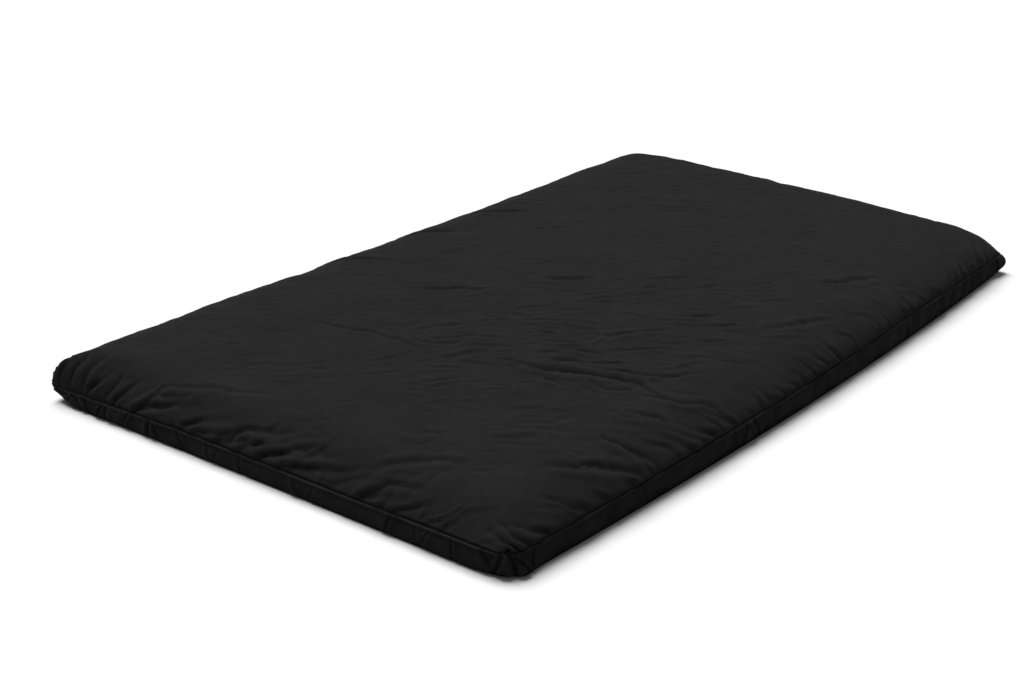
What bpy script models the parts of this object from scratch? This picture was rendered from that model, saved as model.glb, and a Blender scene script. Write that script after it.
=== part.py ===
"""Futon mattress, 120 x 200 cm and 13 cm thick, in a boxed cover that zips open along one long side.

From the outside in:
- a black cover: top and bottom panels joined by border strips, with a reversed coil zip in the left one,
- a calico casing, tufted through with fifteen ties,
- six cotton batts round a foam core.

The frame: +Y runs along the mattress to the head end, +X across it, +Z up, and the origin is the middle
of the footprint, on the floor. Everything is in metres.
"""

import math

import bmesh
import bpy
from mathutils import Matrix

# Driving dimensions
LENGTH = 2.00  # along the right side, from seam to seam
WIDTH = 1.20  # across the head and foot ends, from seam to seam
THICKNESS = 0.130  # at the middle of the crown
RIGHT_BOW = 0.030  # the right side swells out this much at its middle
HEAD_BOW = 0.050  # and the head end this much
HEAD_SKEW = 0.050  # the left side is this much longer than the right one
BORDER_BULGE = 0.005  # how far a border strip rounds out at half its height
CORNER_PULL = 0.010  # how far each corner draws in, along both sides
CORNER_START = 0.91  # and how far out that starts, as a share of the half length
SHOULDER = 0.100  # the top panel rounds over within this distance of the border
DOME = 0.06  # the crown falls by this share towards the shoulders
FABRIC = 0.0010
GAP = 0.0004  # left between pieces that touch

# Heights of the cover's seams
TOP_SEAM_Z = 0.044
BOTTOM_SEAM_Z = 0.005
HEM_RISE = 0.0035  # the bottom panel turns up this much at its edge
HEM_WIDTH = 0.03

# The zip, in the middle of the left border
ZIP_Z = 0.024
ZIP_HALF_LENGTH = 0.925  # half of the slot between the two facings
ZIP_SLOT = 0.014
TAPE_WIDTH = 0.0150
TAPE_THICKNESS = 0.0006
TAPE_GAP = 0.0014  # between the two tapes, where the slider's post runs
COIL_WIDTH = 0.0025
COIL_THICKNESS = 0.0023
COIL_BEVEL = 0.0004
STOP_LENGTH = 0.004
COIL_END_MARGIN = 0.012  # from the end of the slot to the end of the coils
SLIDER_LENGTH = 0.012
SLIDER_FRONT_WIDTH = 0.0104  # where the open coils come in
SLIDER_BACK_WIDTH = 0.0092
PLATE = 0.0016
POST_CLEARANCE = 0.0003
FLANGE = 0.0009
UNION_OVERLAP = 0.0003  # how far the slider's parts run into each other before they are joined
PULL_LENGTH = 0.030
PULL_WIDTH = 0.0064
PULL_THICKNESS = 0.0012
PULL_WINDOW = 0.0060
PULL_WAIST = 0.0036
ARCH_WIDTH = 0.0025
ARCH_LENGTH = 0.0080
ARCH_THICKNESS = 0.0008
PULL_STANDOFF = 0.0012  # from the slider's face to the middle of the pull

# The tufted inside
CASING_INSET = 0.009
CASING_DROP = 0.0055  # from the top of the cover to the top of the casing
CASING_LIFT = 0.0045  # from the floor to the underside of the casing
CASING_FABRIC = 0.0008
CASING_SEAM_DROP = 0.004
BATT_SHARES = (1, 1, 1, 2.6, 1, 1, 1)  # thickness of each layer, against one cotton batt
CORE_LAYER = 3
TUFT_X = (-0.36, 0.0, 0.36)
TUFT_Y = (-0.80, -0.40, 0.0, 0.40, 0.80)
TUFT_RADIUS = 0.011
TUFT_THICKNESS = 0.0025
TWINE_RADIUS = 0.0012
TUFT_HOLE_RADIUS = 0.0022

# What follows from them
LEFT_LENGTH = LENGTH + HEAD_SKEW
HEAD_REACH = HEAD_BOW + HEAD_SKEW / 2 + HEAD_SKEW**2 / (16 * HEAD_BOW)  # most that the head end adds
FOOT_Y = -(LENGTH + HEAD_REACH) / 2
MIDDLE_Y = FOOT_Y + LEFT_LENGTH / 2  # of the left side and its zip
ARCH_HEIGHT = 2 * PULL_STANDOFF + ARCH_THICKNESS
SLIDER_STANDS_OUT = PLATE - FABRIC + ARCH_HEIGHT  # past the face of the facings
LEFT_X = -(WIDTH + RIGHT_BOW + BORDER_BULGE + SLIDER_STANDS_OUT) / 2 + SLIDER_STANDS_OUT
RIGHT_X = LEFT_X + WIDTH

# Grids: cells across and along
COVER_GRID = (16, 24)
CASING_GRID = (8, 12)

COLOURS = {
    # name: (red, green, blue), roughness, metallic
    "cover_fabric": ((0.018, 0.018, 0.018), 0.85, 0.0),
    "zip_tape": ((0.012, 0.012, 0.013), 0.90, 0.0),
    "zip_coil": ((0.015, 0.015, 0.015), 0.45, 0.0),
    "zip_metal": ((0.030, 0.030, 0.032), 0.35, 1.0),
    "calico": ((0.72, 0.66, 0.54), 0.90, 0.0),
    "cotton_batt": ((0.80, 0.77, 0.69), 0.95, 0.0),
    "foam": ((0.78, 0.70, 0.45), 0.90, 0.0),
    "tuft_twine": ((0.62, 0.56, 0.45), 0.85, 0.0),
}


# ---------------------------------------------------------------- scene and materials


def clear_scene():
    for obj in list(bpy.data.objects):
        bpy.data.objects.remove(obj)


def new_collection(name):
    collection = bpy.data.collections.new(name)
    bpy.context.scene.collection.children.link(collection)
    return collection


def material(name):
    made = bpy.data.materials.get(name)
    if made:
        return made
    colour, roughness, metallic = COLOURS[name]
    made = bpy.data.materials.new(name)
    made.use_nodes = True
    shader = made.node_tree.nodes["Principled BSDF"]
    shader.inputs["Base Color"].default_value = (*colour, 1)
    shader.inputs["Roughness"].default_value = roughness
    shader.inputs["Metallic"].default_value = metallic
    return made


def add_object(name, mesh, collection, slot=None):
    obj = bpy.data.objects.new(name, mesh)
    collection.objects.link(obj)
    if slot:
        mesh.materials.append(material(slot))
    return obj


def mesh_from(bm, name):
    """The bmesh as a mesh, with its faces turned outwards."""
    bmesh.ops.recalc_face_normals(bm, faces=bm.faces)
    if bm.calc_volume(signed=True) < 0:
        bmesh.ops.reverse_faces(bm, faces=bm.faces)
    mesh = bpy.data.meshes.new(name)
    bm.to_mesh(mesh)
    bm.free()
    return mesh


# ---------------------------------------------------------------- shapes


def slab(name, slot, collection, grid, place):
    """A grid of cells given a thickness, each corner set by place(s, t, w): s and t run from -1 to 1 over
    the grid, and w is 0 on its lower or inner face and 1 on its upper or outer one."""
    bm = bmesh.new()
    bmesh.ops.create_grid(bm, x_segments=grid[0], y_segments=grid[1], size=1)
    lifted = bmesh.ops.extrude_face_region(bm, geom=bm.faces[:])["geom"]
    for vert in (v for v in lifted if isinstance(v, bmesh.types.BMVert)):
        vert.co.z = 1
    for vert in bm.verts:
        vert.co = place(*vert.co)
    obj = add_object(name, mesh_from(bm, name), collection, slot)
    obj.data.shade_smooth()
    obj.data.set_sharp_from_angle(angle=math.radians(40))
    return obj


def block(name, low, high, collection, slot=None, bevel=0.0):
    """A box between two corners, its edges bevelled."""
    bm = bmesh.new()
    bmesh.ops.create_cube(bm, size=1)
    for vert in bm.verts:
        vert.co = [a + (b - a) * (c + 0.5) for a, b, c in zip(low, high, vert.co)]
    if bevel:
        bmesh.ops.bevel(bm, geom=bm.edges[:], offset=bevel, segments=1, affect="EDGES")
    return add_object(name, mesh_from(bm, name), collection, slot)


def plate(name, outlines, thickness, collection, slot):
    """An upright plate facing along X, from closed outlines in Y and Z. The second outline is a hole."""
    curve = bpy.data.curves.new(name, "CURVE")
    curve.dimensions = "2D"
    curve.fill_mode = "BOTH"
    curve.extrude = thickness / 2
    for outline in outlines:
        spline = curve.splines.new("POLY")
        spline.points.add(len(outline) - 1)
        for point, (y, z) in zip(spline.points, outline):
            point.co = (y, z, 0, 1)
        spline.use_cyclic_u = True
    drawn = bpy.data.objects.new(name + "_outline", curve)
    collection.objects.link(drawn)
    bpy.context.view_layer.update()
    evaluated = drawn.evaluated_get(bpy.context.evaluated_depsgraph_get())
    bm = bmesh.new()
    bm.from_mesh(bpy.data.meshes.new_from_object(evaluated))
    bpy.data.objects.remove(drawn)
    bmesh.ops.remove_doubles(bm, verts=bm.verts, dist=1e-6)
    bm.transform(Matrix(((0, 0, 1, 0), (1, 0, 0, 0), (0, 1, 0, 0), (0, 0, 0, 1))))
    return add_object(name, mesh_from(bm, name), collection, slot)


def boolean(obj, other, operation):
    modifier = obj.modifiers.new(operation.title() + "_" + other.name, "BOOLEAN")
    modifier.operation = operation
    modifier.object = other
    modifier.solver = "EXACT"
    other.hide_render = True
    other.display_type = "WIRE"


def rounded_rectangle(low, high, radius, segments=3):
    """The corners of a rectangle with round corners, anticlockwise."""
    points = []
    inner_low, inner_high = [c + radius for c in low], [c - radius for c in high]
    centres = (inner_high, (inner_low[0], inner_high[1]), inner_low, (inner_high[0], inner_low[1]))
    for quarter, centre in enumerate(centres):
        for step in range(segments + 1):
            angle = math.pi / 2 * (quarter + step / segments)
            points.append((centre[0] + radius * math.cos(angle), centre[1] + radius * math.sin(angle)))
    return points


# ---------------------------------------------------------------- the mattress's form


def towards_edges(s):
    """Grid lines drawn closer together near the edges, where the form turns."""
    return math.sin(math.pi / 2 * s)


def plan(u, v, inset=0.0):
    """The plan point at u across and v along, both from -1 to 1, of the outline shrunk by inset."""
    left = LEFT_X + inset
    right = RIGHT_X + RIGHT_BOW * (1 - v * v) - inset
    pull = CORNER_PULL * (max(abs(u * v) - CORNER_START, 0) / (1 - CORNER_START)) ** 2
    x = left + (right - left) * (u + 1) / 2 - math.copysign(pull, u)
    y = FOOT_Y + inset + (length_at(u) - 2 * inset) * (v + 1) / 2 - math.copysign(pull, v)
    return x, y


def length_at(u):
    """The length of the mattress along the line at u across."""
    return LENGTH + HEAD_BOW * (1 - u * u) + HEAD_SKEW * (1 - u) / 2


def rise(u, v):
    """How far the top has risen over the shoulders: 0 at the border, about 1 over the middle."""

    def over_shoulder(distance):
        share = min(distance / SHOULDER, 1)
        return math.sqrt(1 - (1 - share) ** 2)

    across = over_shoulder((1 - abs(u)) * WIDTH / 2)
    along = over_shoulder((1 - abs(v)) * LENGTH / 2)
    return across * along * (1 - DOME * (u * u + v * v) / 2)


def height_at(x, y, base, top):
    """The height of a top surface over a plan point well inside the shoulders."""
    u = (x - (LEFT_X + RIGHT_X) / 2) / (WIDTH / 2)
    v = 2 * (y - FOOT_Y) / length_at(u) - 1
    return base + (top - base) * rise(u, v)


def top_sheet(name, slot, collection, grid, inset, seam_z, top_z, fabric):
    """A panel that rounds up from its seam and over the crown."""

    def place(s, t, w):
        u, v = towards_edges(s), towards_edges(t)
        inside = fabric * (1 - w)
        x, y = plan(u, v, inset + inside)
        return x, y, seam_z + (top_z - seam_z - inside) * rise(u, v)

    return slab(name, slot, collection, grid, place)


def bottom_sheet(name, slot, collection, grid, inset, floor_z, hem_rise, fabric):
    """A flat panel whose edge turns up to its seam."""

    def place(s, t, w):
        u, v = towards_edges(s), towards_edges(t)
        x, y = plan(u, v, inset)
        edge = min((1 - abs(u)) * WIDTH / 2, (1 - abs(v)) * LENGTH / 2)
        turn = max(1 - edge / HEM_WIDTH, 0) ** 2
        return x, y, floor_z + fabric * w + hem_rise * turn

    return slab(name, slot, collection, grid, place)


def border_strip(name, slot, collection, side, heights, cells, inset, fabric, bulge, span=None):
    """An upright strip along one side, between two heights. Its ends are mitred to its neighbours. A strip
    with a span of its own runs between two places along the left side."""
    low, high = heights
    across = side in ("foot", "head")
    outwards = -1 if side in ("foot", "left") else 1

    def place(s, t, w):
        if span:
            along = span[0] + (span[1] - span[0]) * (s + 1) / 2
        else:
            along = towards_edges(s)
        swell = bulge * (1 - along**8)
        if abs(along) == 1:
            along *= 1 - GAP / WIDTH
        share = (t + 1) / 2
        u, v = (along, outwards) if across else (outwards, along)
        x, y = plan(u, v, inset + fabric * (1 - w))
        out = outwards * swell * math.sin(math.pi * share)
        return x + (0 if across else out), y + (out if across else 0), low + (high - low) * share

    return slab(name, slot, collection, cells, place)


# ---------------------------------------------------------------- the cover


def build_cover(parts):
    top_sheet("cover_top_panel", "cover_fabric", parts, COVER_GRID, 0, TOP_SEAM_Z, THICKNESS, FABRIC)
    bottom_sheet("cover_bottom_panel", "cover_fabric", parts, COVER_GRID, 0, 0, HEM_RISE, FABRIC)
    heights = (BOTTOM_SEAM_Z, TOP_SEAM_Z - GAP)
    for side in ("foot", "head", "right"):
        cells = (COVER_GRID[side == "right"], 4)
        name = "cover_border_" + side
        border_strip(name, "cover_fabric", parts, side, heights, cells, 0, FABRIC, BORDER_BULGE)
    build_left_border(parts, heights)


def build_left_border(parts, heights):
    """The border with the zip: two facings, above and below the slot, and a plain piece at each end."""
    slot_end = 2 * ZIP_HALF_LENGTH / LEFT_LENGTH
    joint = 2 * GAP / LEFT_LENGTH
    spans = {
        "cover_left_facing_upper": ((-slot_end, slot_end), (ZIP_Z + ZIP_SLOT / 2, heights[1])),
        "cover_left_facing_lower": ((-slot_end, slot_end), (heights[0], ZIP_Z - ZIP_SLOT / 2)),
        "cover_border_left_foot_piece": ((-1, -slot_end - joint), heights),
        "cover_border_left_head_piece": ((slot_end + joint, 1), heights),
    }
    for name, (span, levels) in spans.items():
        border_strip(name, "cover_fabric", parts, "left", levels, (8, 2), 0, FABRIC, 0, span)


# ---------------------------------------------------------------- the zip


def tape_face_x():
    """Where the tapes' outer faces lie, just behind the facings."""
    return LEFT_X + FABRIC + GAP


def coil_half_length():
    return ZIP_HALF_LENGTH - COIL_END_MARGIN


def build_tapes_and_coils(parts):
    """Two tapes with a coil sewn along the back of each, and a stop at each end of the coils."""
    face = tape_face_x()
    back = face + TAPE_THICKNESS + GAP
    coil_end = coil_half_length()
    for name, up in (("upper", 1), ("lower", -1)):
        near = ZIP_Z + up * TAPE_GAP / 2
        tape = sorted((near, near + up * TAPE_WIDTH))
        coil = sorted((near, near + up * COIL_WIDTH))
        low = (face, MIDDLE_Y - ZIP_HALF_LENGTH, tape[0])
        high = (face + TAPE_THICKNESS, MIDDLE_Y + ZIP_HALF_LENGTH, tape[1])
        block("zip_tape_" + name, low, high, parts, "zip_tape")
        low = (back, MIDDLE_Y - coil_end, coil[0])
        high = (back + COIL_THICKNESS, MIDDLE_Y + coil_end, coil[1])
        block("zip_coil_" + name, low, high, parts, "zip_coil", COIL_BEVEL)
    reach = TAPE_GAP / 2 + COIL_WIDTH
    for name, end in (("head", 1), ("foot", -1)):
        start = MIDDLE_Y + end * (coil_end + GAP)
        y = sorted((start, start + end * STOP_LENGTH))
        low = (back, y[0], ZIP_Z - reach)
        high = (back + COIL_THICKNESS, y[1], ZIP_Z + reach)
        block("zip_stop_" + name, low, high, parts, "zip_coil", COIL_BEVEL)


def slider_rest_y():
    """The slider's middle when the zip is shut, at the head end of the coils."""
    return MIDDLE_Y + coil_half_length() - SLIDER_LENGTH / 2


def pull_axis_x():
    return tape_face_x() - GAP - PLATE - PULL_STANDOFF


def slider_outline(y):
    """A shield: broad in front, where the open coils come in, and rounded at the back."""
    front, back, half = SLIDER_FRONT_WIDTH / 2, SLIDER_BACK_WIDTH / 2, SLIDER_LENGTH / 2
    nose = 0.3 * SLIDER_LENGTH
    arc = [math.pi / 2 + math.pi * step / 8 for step in range(9)]
    round_end = [(y - half + nose + nose * math.cos(a), ZIP_Z + back * math.sin(a)) for a in arc]
    shoulder = 0.15 * SLIDER_LENGTH
    return [
        *round_end,
        (y + half - shoulder, ZIP_Z - front),
        (y + half, ZIP_Z - 0.9 * front),
        (y + half, ZIP_Z + 0.9 * front),
        (y + half - shoulder, ZIP_Z + front),
    ]


def build_slider(parts, cutters):
    """Front and back plates joined by a post between the tapes, with flanges that hold the coils, and the
    arch that the pull hangs on."""
    y = slider_rest_y()
    half = SLIDER_LENGTH / 2
    tape = tape_face_x()
    front = tape - GAP - PLATE
    channel = tape + TAPE_THICKNESS + GAP
    back = channel + COIL_THICKNESS + GAP
    body = plate("zip_slider", [slider_outline(y)], PLATE, parts, "zip_metal")
    body.data.transform(Matrix.Translation((front + PLATE / 2, 0, 0)))

    lap = UNION_OVERLAP
    post = TAPE_GAP / 2 - POST_CLEARANCE
    flange_in = TAPE_GAP / 2 + COIL_WIDTH + GAP
    flange_out = flange_in + FLANGE
    back_edge = flange_out + lap / 3
    arch = ARCH_WIDTH / 2
    eye = pull_axis_x() - PULL_STANDOFF
    foot_in, foot_out = ARCH_LENGTH / 2 - ARCH_THICKNESS, ARCH_LENGTH / 2
    top_y, top_z = foot_out + lap / 3, arch + lap / 3
    pieces = {
        # name: where it runs from and to, inwards from the face, along the zip, and up
        "post": ((front + lap, back + lap), (0.1 * half, 0.7 * half), (-post, post)),
        "back_plate": ((back, back + PLATE), (-0.8 * half, 0.8 * half), (-back_edge, back_edge)),
        "flange_upper": ((channel, back + lap), (-0.7 * half, 0.7 * half), (flange_in, flange_out)),
        "flange_lower": ((channel, back + lap), (-0.7 * half, 0.7 * half), (-flange_out, -flange_in)),
        "arch_foot_near": ((eye - lap, front + lap), (-foot_out, -foot_in), (-arch, arch)),
        "arch_foot_far": ((eye - lap, front + lap), (foot_in, foot_out), (-arch, arch)),
        "arch_top": ((eye - ARCH_THICKNESS, eye), (-top_y, top_y), (-top_z, top_z)),
    }
    for name, (inwards, along, up) in pieces.items():
        low = (inwards[0], y + along[0], ZIP_Z + up[0])
        high = (inwards[1], y + along[1], ZIP_Z + up[1])
        boolean(body, block("slider_" + name, low, high, cutters), "UNION")
    put_origin_at(body, (pull_axis_x(), y, ZIP_Z))


def build_pull(parts):
    """A flat tab with a window: the bar at its end turns under the slider's arch."""
    bar, half = PULL_THICKNESS / 2, PULL_WIDTH / 2
    outline = rounded_rectangle((-PULL_LENGTH, -half), (bar, half), PULL_THICKNESS / 3)
    window_low = (-bar - PULL_WINDOW, -PULL_WAIST / 2)
    window = rounded_rectangle(window_low, (-bar, PULL_WAIST / 2), PULL_THICKNESS / 4, 1)
    tab = plate("zip_pull", [outline, window], PULL_THICKNESS, parts, "zip_metal")
    tab.location = (pull_axis_x(), slider_rest_y(), ZIP_Z)


def put_origin_at(obj, point):
    """Moves the object's origin to a point, leaving its shape where it is."""
    obj.data.transform(Matrix.Translation([-c for c in point]))
    obj.location = point


# ---------------------------------------------------------------- the tufted inside


CASING_TOP_Z = THICKNESS - CASING_DROP
CASING_SEAM_Z = TOP_SEAM_Z - CASING_SEAM_DROP


def build_casing(parts):
    args = (CASING_GRID, CASING_INSET)
    top = top_sheet("casing_top", "calico", parts, *args, CASING_SEAM_Z, CASING_TOP_Z, CASING_FABRIC)
    bottom = bottom_sheet("casing_bottom", "calico", parts, *args, CASING_LIFT, 0, CASING_FABRIC)
    heights = (CASING_LIFT + CASING_FABRIC + GAP, CASING_SEAM_Z - GAP)
    for side in ("foot", "head", "left", "right"):
        cells = (CASING_GRID[side in ("left", "right")], 1)
        name = "casing_border_" + side
        border_strip(name, "calico", parts, side, heights, cells, CASING_INSET, CASING_FABRIC, 0)
    return [top, bottom]


def build_filling(parts):
    """The layers fill the casing. Each is thickest at the crown and pressed thin at the border."""
    inset = CASING_INSET + CASING_FABRIC + GAP
    bottom_z = CASING_LIFT + CASING_FABRIC + GAP
    seam_z = CASING_SEAM_Z - GAP
    top_z = CASING_TOP_Z - CASING_FABRIC - GAP
    total = sum(BATT_SHARES)
    layers = []
    for index, share in enumerate(BATT_SHARES):
        low = sum(BATT_SHARES[:index]) / total
        high = low + share / total
        core = index == CORE_LAYER
        name = "foam_core" if core else f"cotton_batt_{index + 1 - (index > CORE_LAYER)}"

        def place(s, t, w, low=low, high=high):
            u, v = towards_edges(s), towards_edges(t)
            x, y = plan(u, v, inset)
            depth = seam_z - bottom_z + (top_z - seam_z) * rise(u, v)
            return x, y, bottom_z + depth * (low if w == 0 else high) + (GAP / 2 if w == 0 else -GAP / 2)

        layers.append(slab(name, "foam" if core else "cotton_batt", parts, CASING_GRID, place))
    return layers


def build_tufts(parts, cutters, pierced):
    """Ties through the casing and its filling, each a twine with a felt washer at both ends."""
    drill = bmesh.new()
    for row, y in enumerate(TUFT_Y):
        for column, x in enumerate(TUFT_X):
            low = CASING_LIFT - GAP
            high = height_at(x, y, CASING_SEAM_Z, CASING_TOP_Z) + GAP
            build_tuft(f"tuft_row{row + 1}_{'left middle right'.split()[column]}", x, y, low, high, parts)
            made = bmesh.ops.create_cone(
                drill,
                cap_ends=True,
                segments=6,
                radius1=TUFT_HOLE_RADIUS,
                radius2=TUFT_HOLE_RADIUS,
                depth=2 * THICKNESS,
            )
            bmesh.ops.translate(drill, verts=made["verts"], vec=(x, y, THICKNESS / 2))
    holes = add_object("tuft_holes", mesh_from(drill, "tuft_holes"), cutters)
    for obj in pierced:
        boolean(obj, holes, "DIFFERENCE")


def build_tuft(name, x, y, low, high, parts):
    """A turned shape: washer, twine, washer, from top to bottom."""
    radii_and_heights = (
        (0, high + TUFT_THICKNESS),
        (TUFT_RADIUS, high + TUFT_THICKNESS),
        (TUFT_RADIUS, high),
        (TWINE_RADIUS, high),
        (TWINE_RADIUS, low),
        (TUFT_RADIUS, low),
        (TUFT_RADIUS, low - TUFT_THICKNESS),
        (0, low - TUFT_THICKNESS),
    )
    bm = bmesh.new()
    verts = [bm.verts.new((r, 0, z)) for r, z in radii_and_heights]
    for first, second in zip(verts, verts[1:]):
        bm.edges.new((first, second))
    mesh = bpy.data.meshes.new(name)
    bm.to_mesh(mesh)
    bm.free()
    tuft = add_object(name, mesh, parts, "tuft_twine")
    tuft.location = (x, y, 0)
    screw = tuft.modifiers.new("Turned", "SCREW")
    screw.steps = screw.render_steps = 8
    screw.use_merge_vertices = True
    screw.merge_threshold = 0.00005


# ---------------------------------------------------------------- the whole mattress


def main():
    clear_scene()
    parts = new_collection("futon_mattress")
    cutters = new_collection("cutters")
    build_cover(parts)
    build_tapes_and_coils(parts)
    build_slider(parts, cutters)
    build_pull(parts)
    pierced = build_casing(parts) + build_filling(parts)
    build_tufts(parts, cutters, pierced)


main()
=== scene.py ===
"""The futon mattress as it looks: its cloth, seams, zip and filling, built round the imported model."""

import math

import bmesh
import bpy
import numpy as np
from mathutils import Matrix, Vector


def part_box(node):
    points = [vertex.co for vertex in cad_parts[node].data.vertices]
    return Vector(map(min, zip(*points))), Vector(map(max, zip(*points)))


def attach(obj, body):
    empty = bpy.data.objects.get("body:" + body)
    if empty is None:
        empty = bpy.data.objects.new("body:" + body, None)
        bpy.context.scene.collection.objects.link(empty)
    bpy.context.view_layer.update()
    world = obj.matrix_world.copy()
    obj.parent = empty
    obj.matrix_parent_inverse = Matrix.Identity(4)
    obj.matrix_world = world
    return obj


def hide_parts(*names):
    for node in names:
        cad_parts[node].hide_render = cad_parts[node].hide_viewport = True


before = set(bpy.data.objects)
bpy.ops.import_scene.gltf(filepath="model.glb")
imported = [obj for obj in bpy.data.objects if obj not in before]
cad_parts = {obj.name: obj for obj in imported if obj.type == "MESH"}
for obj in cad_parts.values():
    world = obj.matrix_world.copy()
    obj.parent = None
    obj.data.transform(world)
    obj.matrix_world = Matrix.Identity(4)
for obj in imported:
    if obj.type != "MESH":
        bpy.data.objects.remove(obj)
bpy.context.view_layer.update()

# The mattress, as the model has it
LEFT_X, FOOT_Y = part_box("cover_top_panel")[0][:2]
WIDTH, LENGTH = 1.20, 2.00  # from seam to seam, across the ends and along the right side
RIGHT_BOW = 0.030  # how far the right side and the head end swell out at their middles
HEAD_BOW = 0.050
HEAD_SKEW = 0.050  # the left side is this much longer than the right one
FOOT_HOLLOW = 0.005  # the foot end draws in this much at its middle
ZIP_LOW, ZIP_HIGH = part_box("cover_left_facing_lower")[1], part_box("cover_left_facing_upper")[0]

# The form of the top: how wide it rounds over at each side, and how full each corner is
SHOULDERS = {"foot": 0.105, "right": 0.135, "head": 0.092, "left": 0.128}
LEFT_FOOT_SHOULDER = 0.046  # the foot's, at its left corner
FOOT_ROUNDNESS = 0.20  # 1 stands upright at the seam, 0 only slopes away from it
RIGHT_ROUNDNESS = (0.55, 1.2)  # at the foot end, at the head end
FULLNESS = {"left_foot": 1.16, "right_foot": 0.30, "right_head": 0.0, "left_head": 0.29}
CROWN_Z = 0.1220  # how high the top is over its middle
CROWN_FALL = 0.0053  # the filling lies this much higher on the left, and lower on the right
HEAD_FILL = 0.016  # and it is piled up this much near the left head corner
HEAD_FILL_PLACE, HEAD_FILL_SPREAD = (0.15, 0.85), (0.08, 0.15)
DOME = 0.04  # the share of its rise that the top falls from its middle to its corners
CORNER_PULLS = {
    # (side across, side along): how far in the corner is drawn, and how far from it that starts
    (1, -1): (0.0150, 0.038),
    (-1, 1): (0.0203, 0.152),
}
SEAM_Z = {
    # side, walked with the mattress on the left hand: the seam's height at even steps
    "foot": (0.036, 0.0445, 0.043, 0.049),
    "right": (0.049, 0.0513, 0.0536, 0.060, 0.0524),
    "head": (0.0524, 0.046, 0.046),
    "left": (0.046, 0.045, 0.044, 0.036),
}
SEAM_WAVE = 0.0006  # and how far it wavers
BOTTOM_SEAM_Z = 0.0022

CELL, BORDER_CELL, BOTTOM_CELL = 0.0062, 0.0027, 0.015  # the cloth's grids
HEM_WIDTH = 0.03  # the bottom panel turns up to its seam over this
# (side across, side along): how far the bottom seam is drawn up off the floor at each corner
CORNER_LIFTS = {(-1, -1): 0.022, (1, -1): 0.004, (-1, 1): 0.010, (1, 1): 0.008}
CORNER_REACH = 0.040
# and how far the border stands off there, across and along, at its foot and half way up
CORNER_SWINGS = {
    (1, -1): ((0.011, 0.008), (0.006, 0.004)),
    (1, 1): ((0.003, 0.003), (0.012, 0.009)),
    (-1, 1): ((-0.002, 0.002), (-0.008, 0.006)),
    (-1, -1): ((0.002, 0.0015), (0.002, 0.0015)),
}
FABRIC = 0.0009
FLOOR_GAP, HEM_GAP = 0.0002, 0.0012  # under the bottom panel, and between its turned up edge and the borders
TUCK = 0.006  # cloth turned in at a seam
FIRST_TUCK = 0.0025  # and the first ring of it
FOLDED = 0.0006  # and at a folded edge beside the zip
GROOVE = 0.0016  # the seam's width between panel and border
BULGE = 0.0046  # how far a border rounds out
FOOT_FULLNESS = 0.5  # the share of that which it keeps at its foot
BORDER_STEPS = 15  # points up a border
END_REACH = 0.006  # its bow and pleats die out this close to an end, so that it meets its neighbour
CORNER_TURN = 0.008  # and it turns half way round the corner over this
BULGE_FADE, END_BULGE = 0.03, 0.4  # and its bulge falls to this share of itself
RIDGE, RIDGE_FROM_END, RIDGE_WIDTH = 0.0020, 0.010, 0.005  # beside the upright seam it stands up in a ridge
EDGE_ROLL, ROLL_BELOW, ROLL_WIDTH = 0.0030, 0.0024, 0.0016  # its upper edge rolls over its seam allowance
ROLL_FADE = 0.02  # away from its ends
NO_ROLL, FULL_ROLL = 0.004, 0.014  # how high a facing is where its edge starts to roll, and rolls in full
RIGHT_TUCK, RIGHT_TUCK_FADE = 0.0030, 0.08  # the right side's foot lies further in, away from its ends
LEFT_BOWS = {"upper": 0.0012, "lower": 0.0008, "head": 0.0010, "foot": 0.0006}  # the left side's four strips
LAP_STEP = 0.0016  # how far an end piece steps in to pass behind the facings
ZIP_END_LAP = 0.0015  # and how far it passes behind them
ZIP_FADE = 0.075  # the head piece comes out to the zip's face over this

# How the top panel settles
SETTLING_CELL = 0.012  # the grid that it is simulated on
SETTLING_FRAMES = 24
SLACK = 0.007  # the share that it is cut too large
ASKEW = 0.016  # how far it is pulled across for every metre along
MOST_MOVE = 0.010
# The small folds over it
FOLD_COUNT = 520
FOLD_REACHES, FOLD_BEND, FOLD_STRAY = (0.015, 0.065), 0.25, 0.30  # half their lengths, and angles in radians
FOLD_DEPTHS, FOLD_WIDTHS, FOLD_LEAN = (0.0004, 0.0015), (0.005, 0.011), 0.45
FOLD_SHARES = (0.36, 1.8, 0.6)  # how deep they are anywhere, where the cloth was worked, and at its edge
# The folds that run in from its seams, and the share of their depth that the scattered ones have
GATHER_REACHES, SCATTERED_REACHES, SCATTERED_DEPTH = (0.035, 0.10), (0.02, 0.05), 0.6
GATHER_DEPTHS, GATHER_SPACING = (0.0010, 0.0028), 0.10
FOLD_DEPTH = 2.5  # all folds' depths and heights are scaled by this
DEEPEST = 0.0085  # how far folds stand out or in at most
DEEPEST_AT_SEAM = 0.66  # the share of that at the seams, from where it grows over 0.25 m
SEAM_FADE = 0.007  # folds start this far from a seam
WANDER, WANDER_CELL = 0.007, 0.034  # how far folds stray from their paths, and in how long bends
# The filling's low swells: height, stretch along the pull, size across it, random seed
SWELLS = ((0.0016, 1.0, 0.13, 5), (0.0015, 1.8, 0.046, 6))
# Fine shallow wrinkles drawn out along the pull: share, stretch along it, size across it, random seed
WRINKLES = ((1.0, 3.5, 0.021, 8), (0.6, 2.5, 0.012, 9))
WRINKLE_HEIGHT, WRINKLE_WANDER = 0.0013, 0.008
# Where the cloth was worked most, in metres from the left foot corner, and how far that spreads
WORKED_PLACE, WORKED_SPREAD = (0.85, 0.70), (0.10, 0.22)

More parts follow.
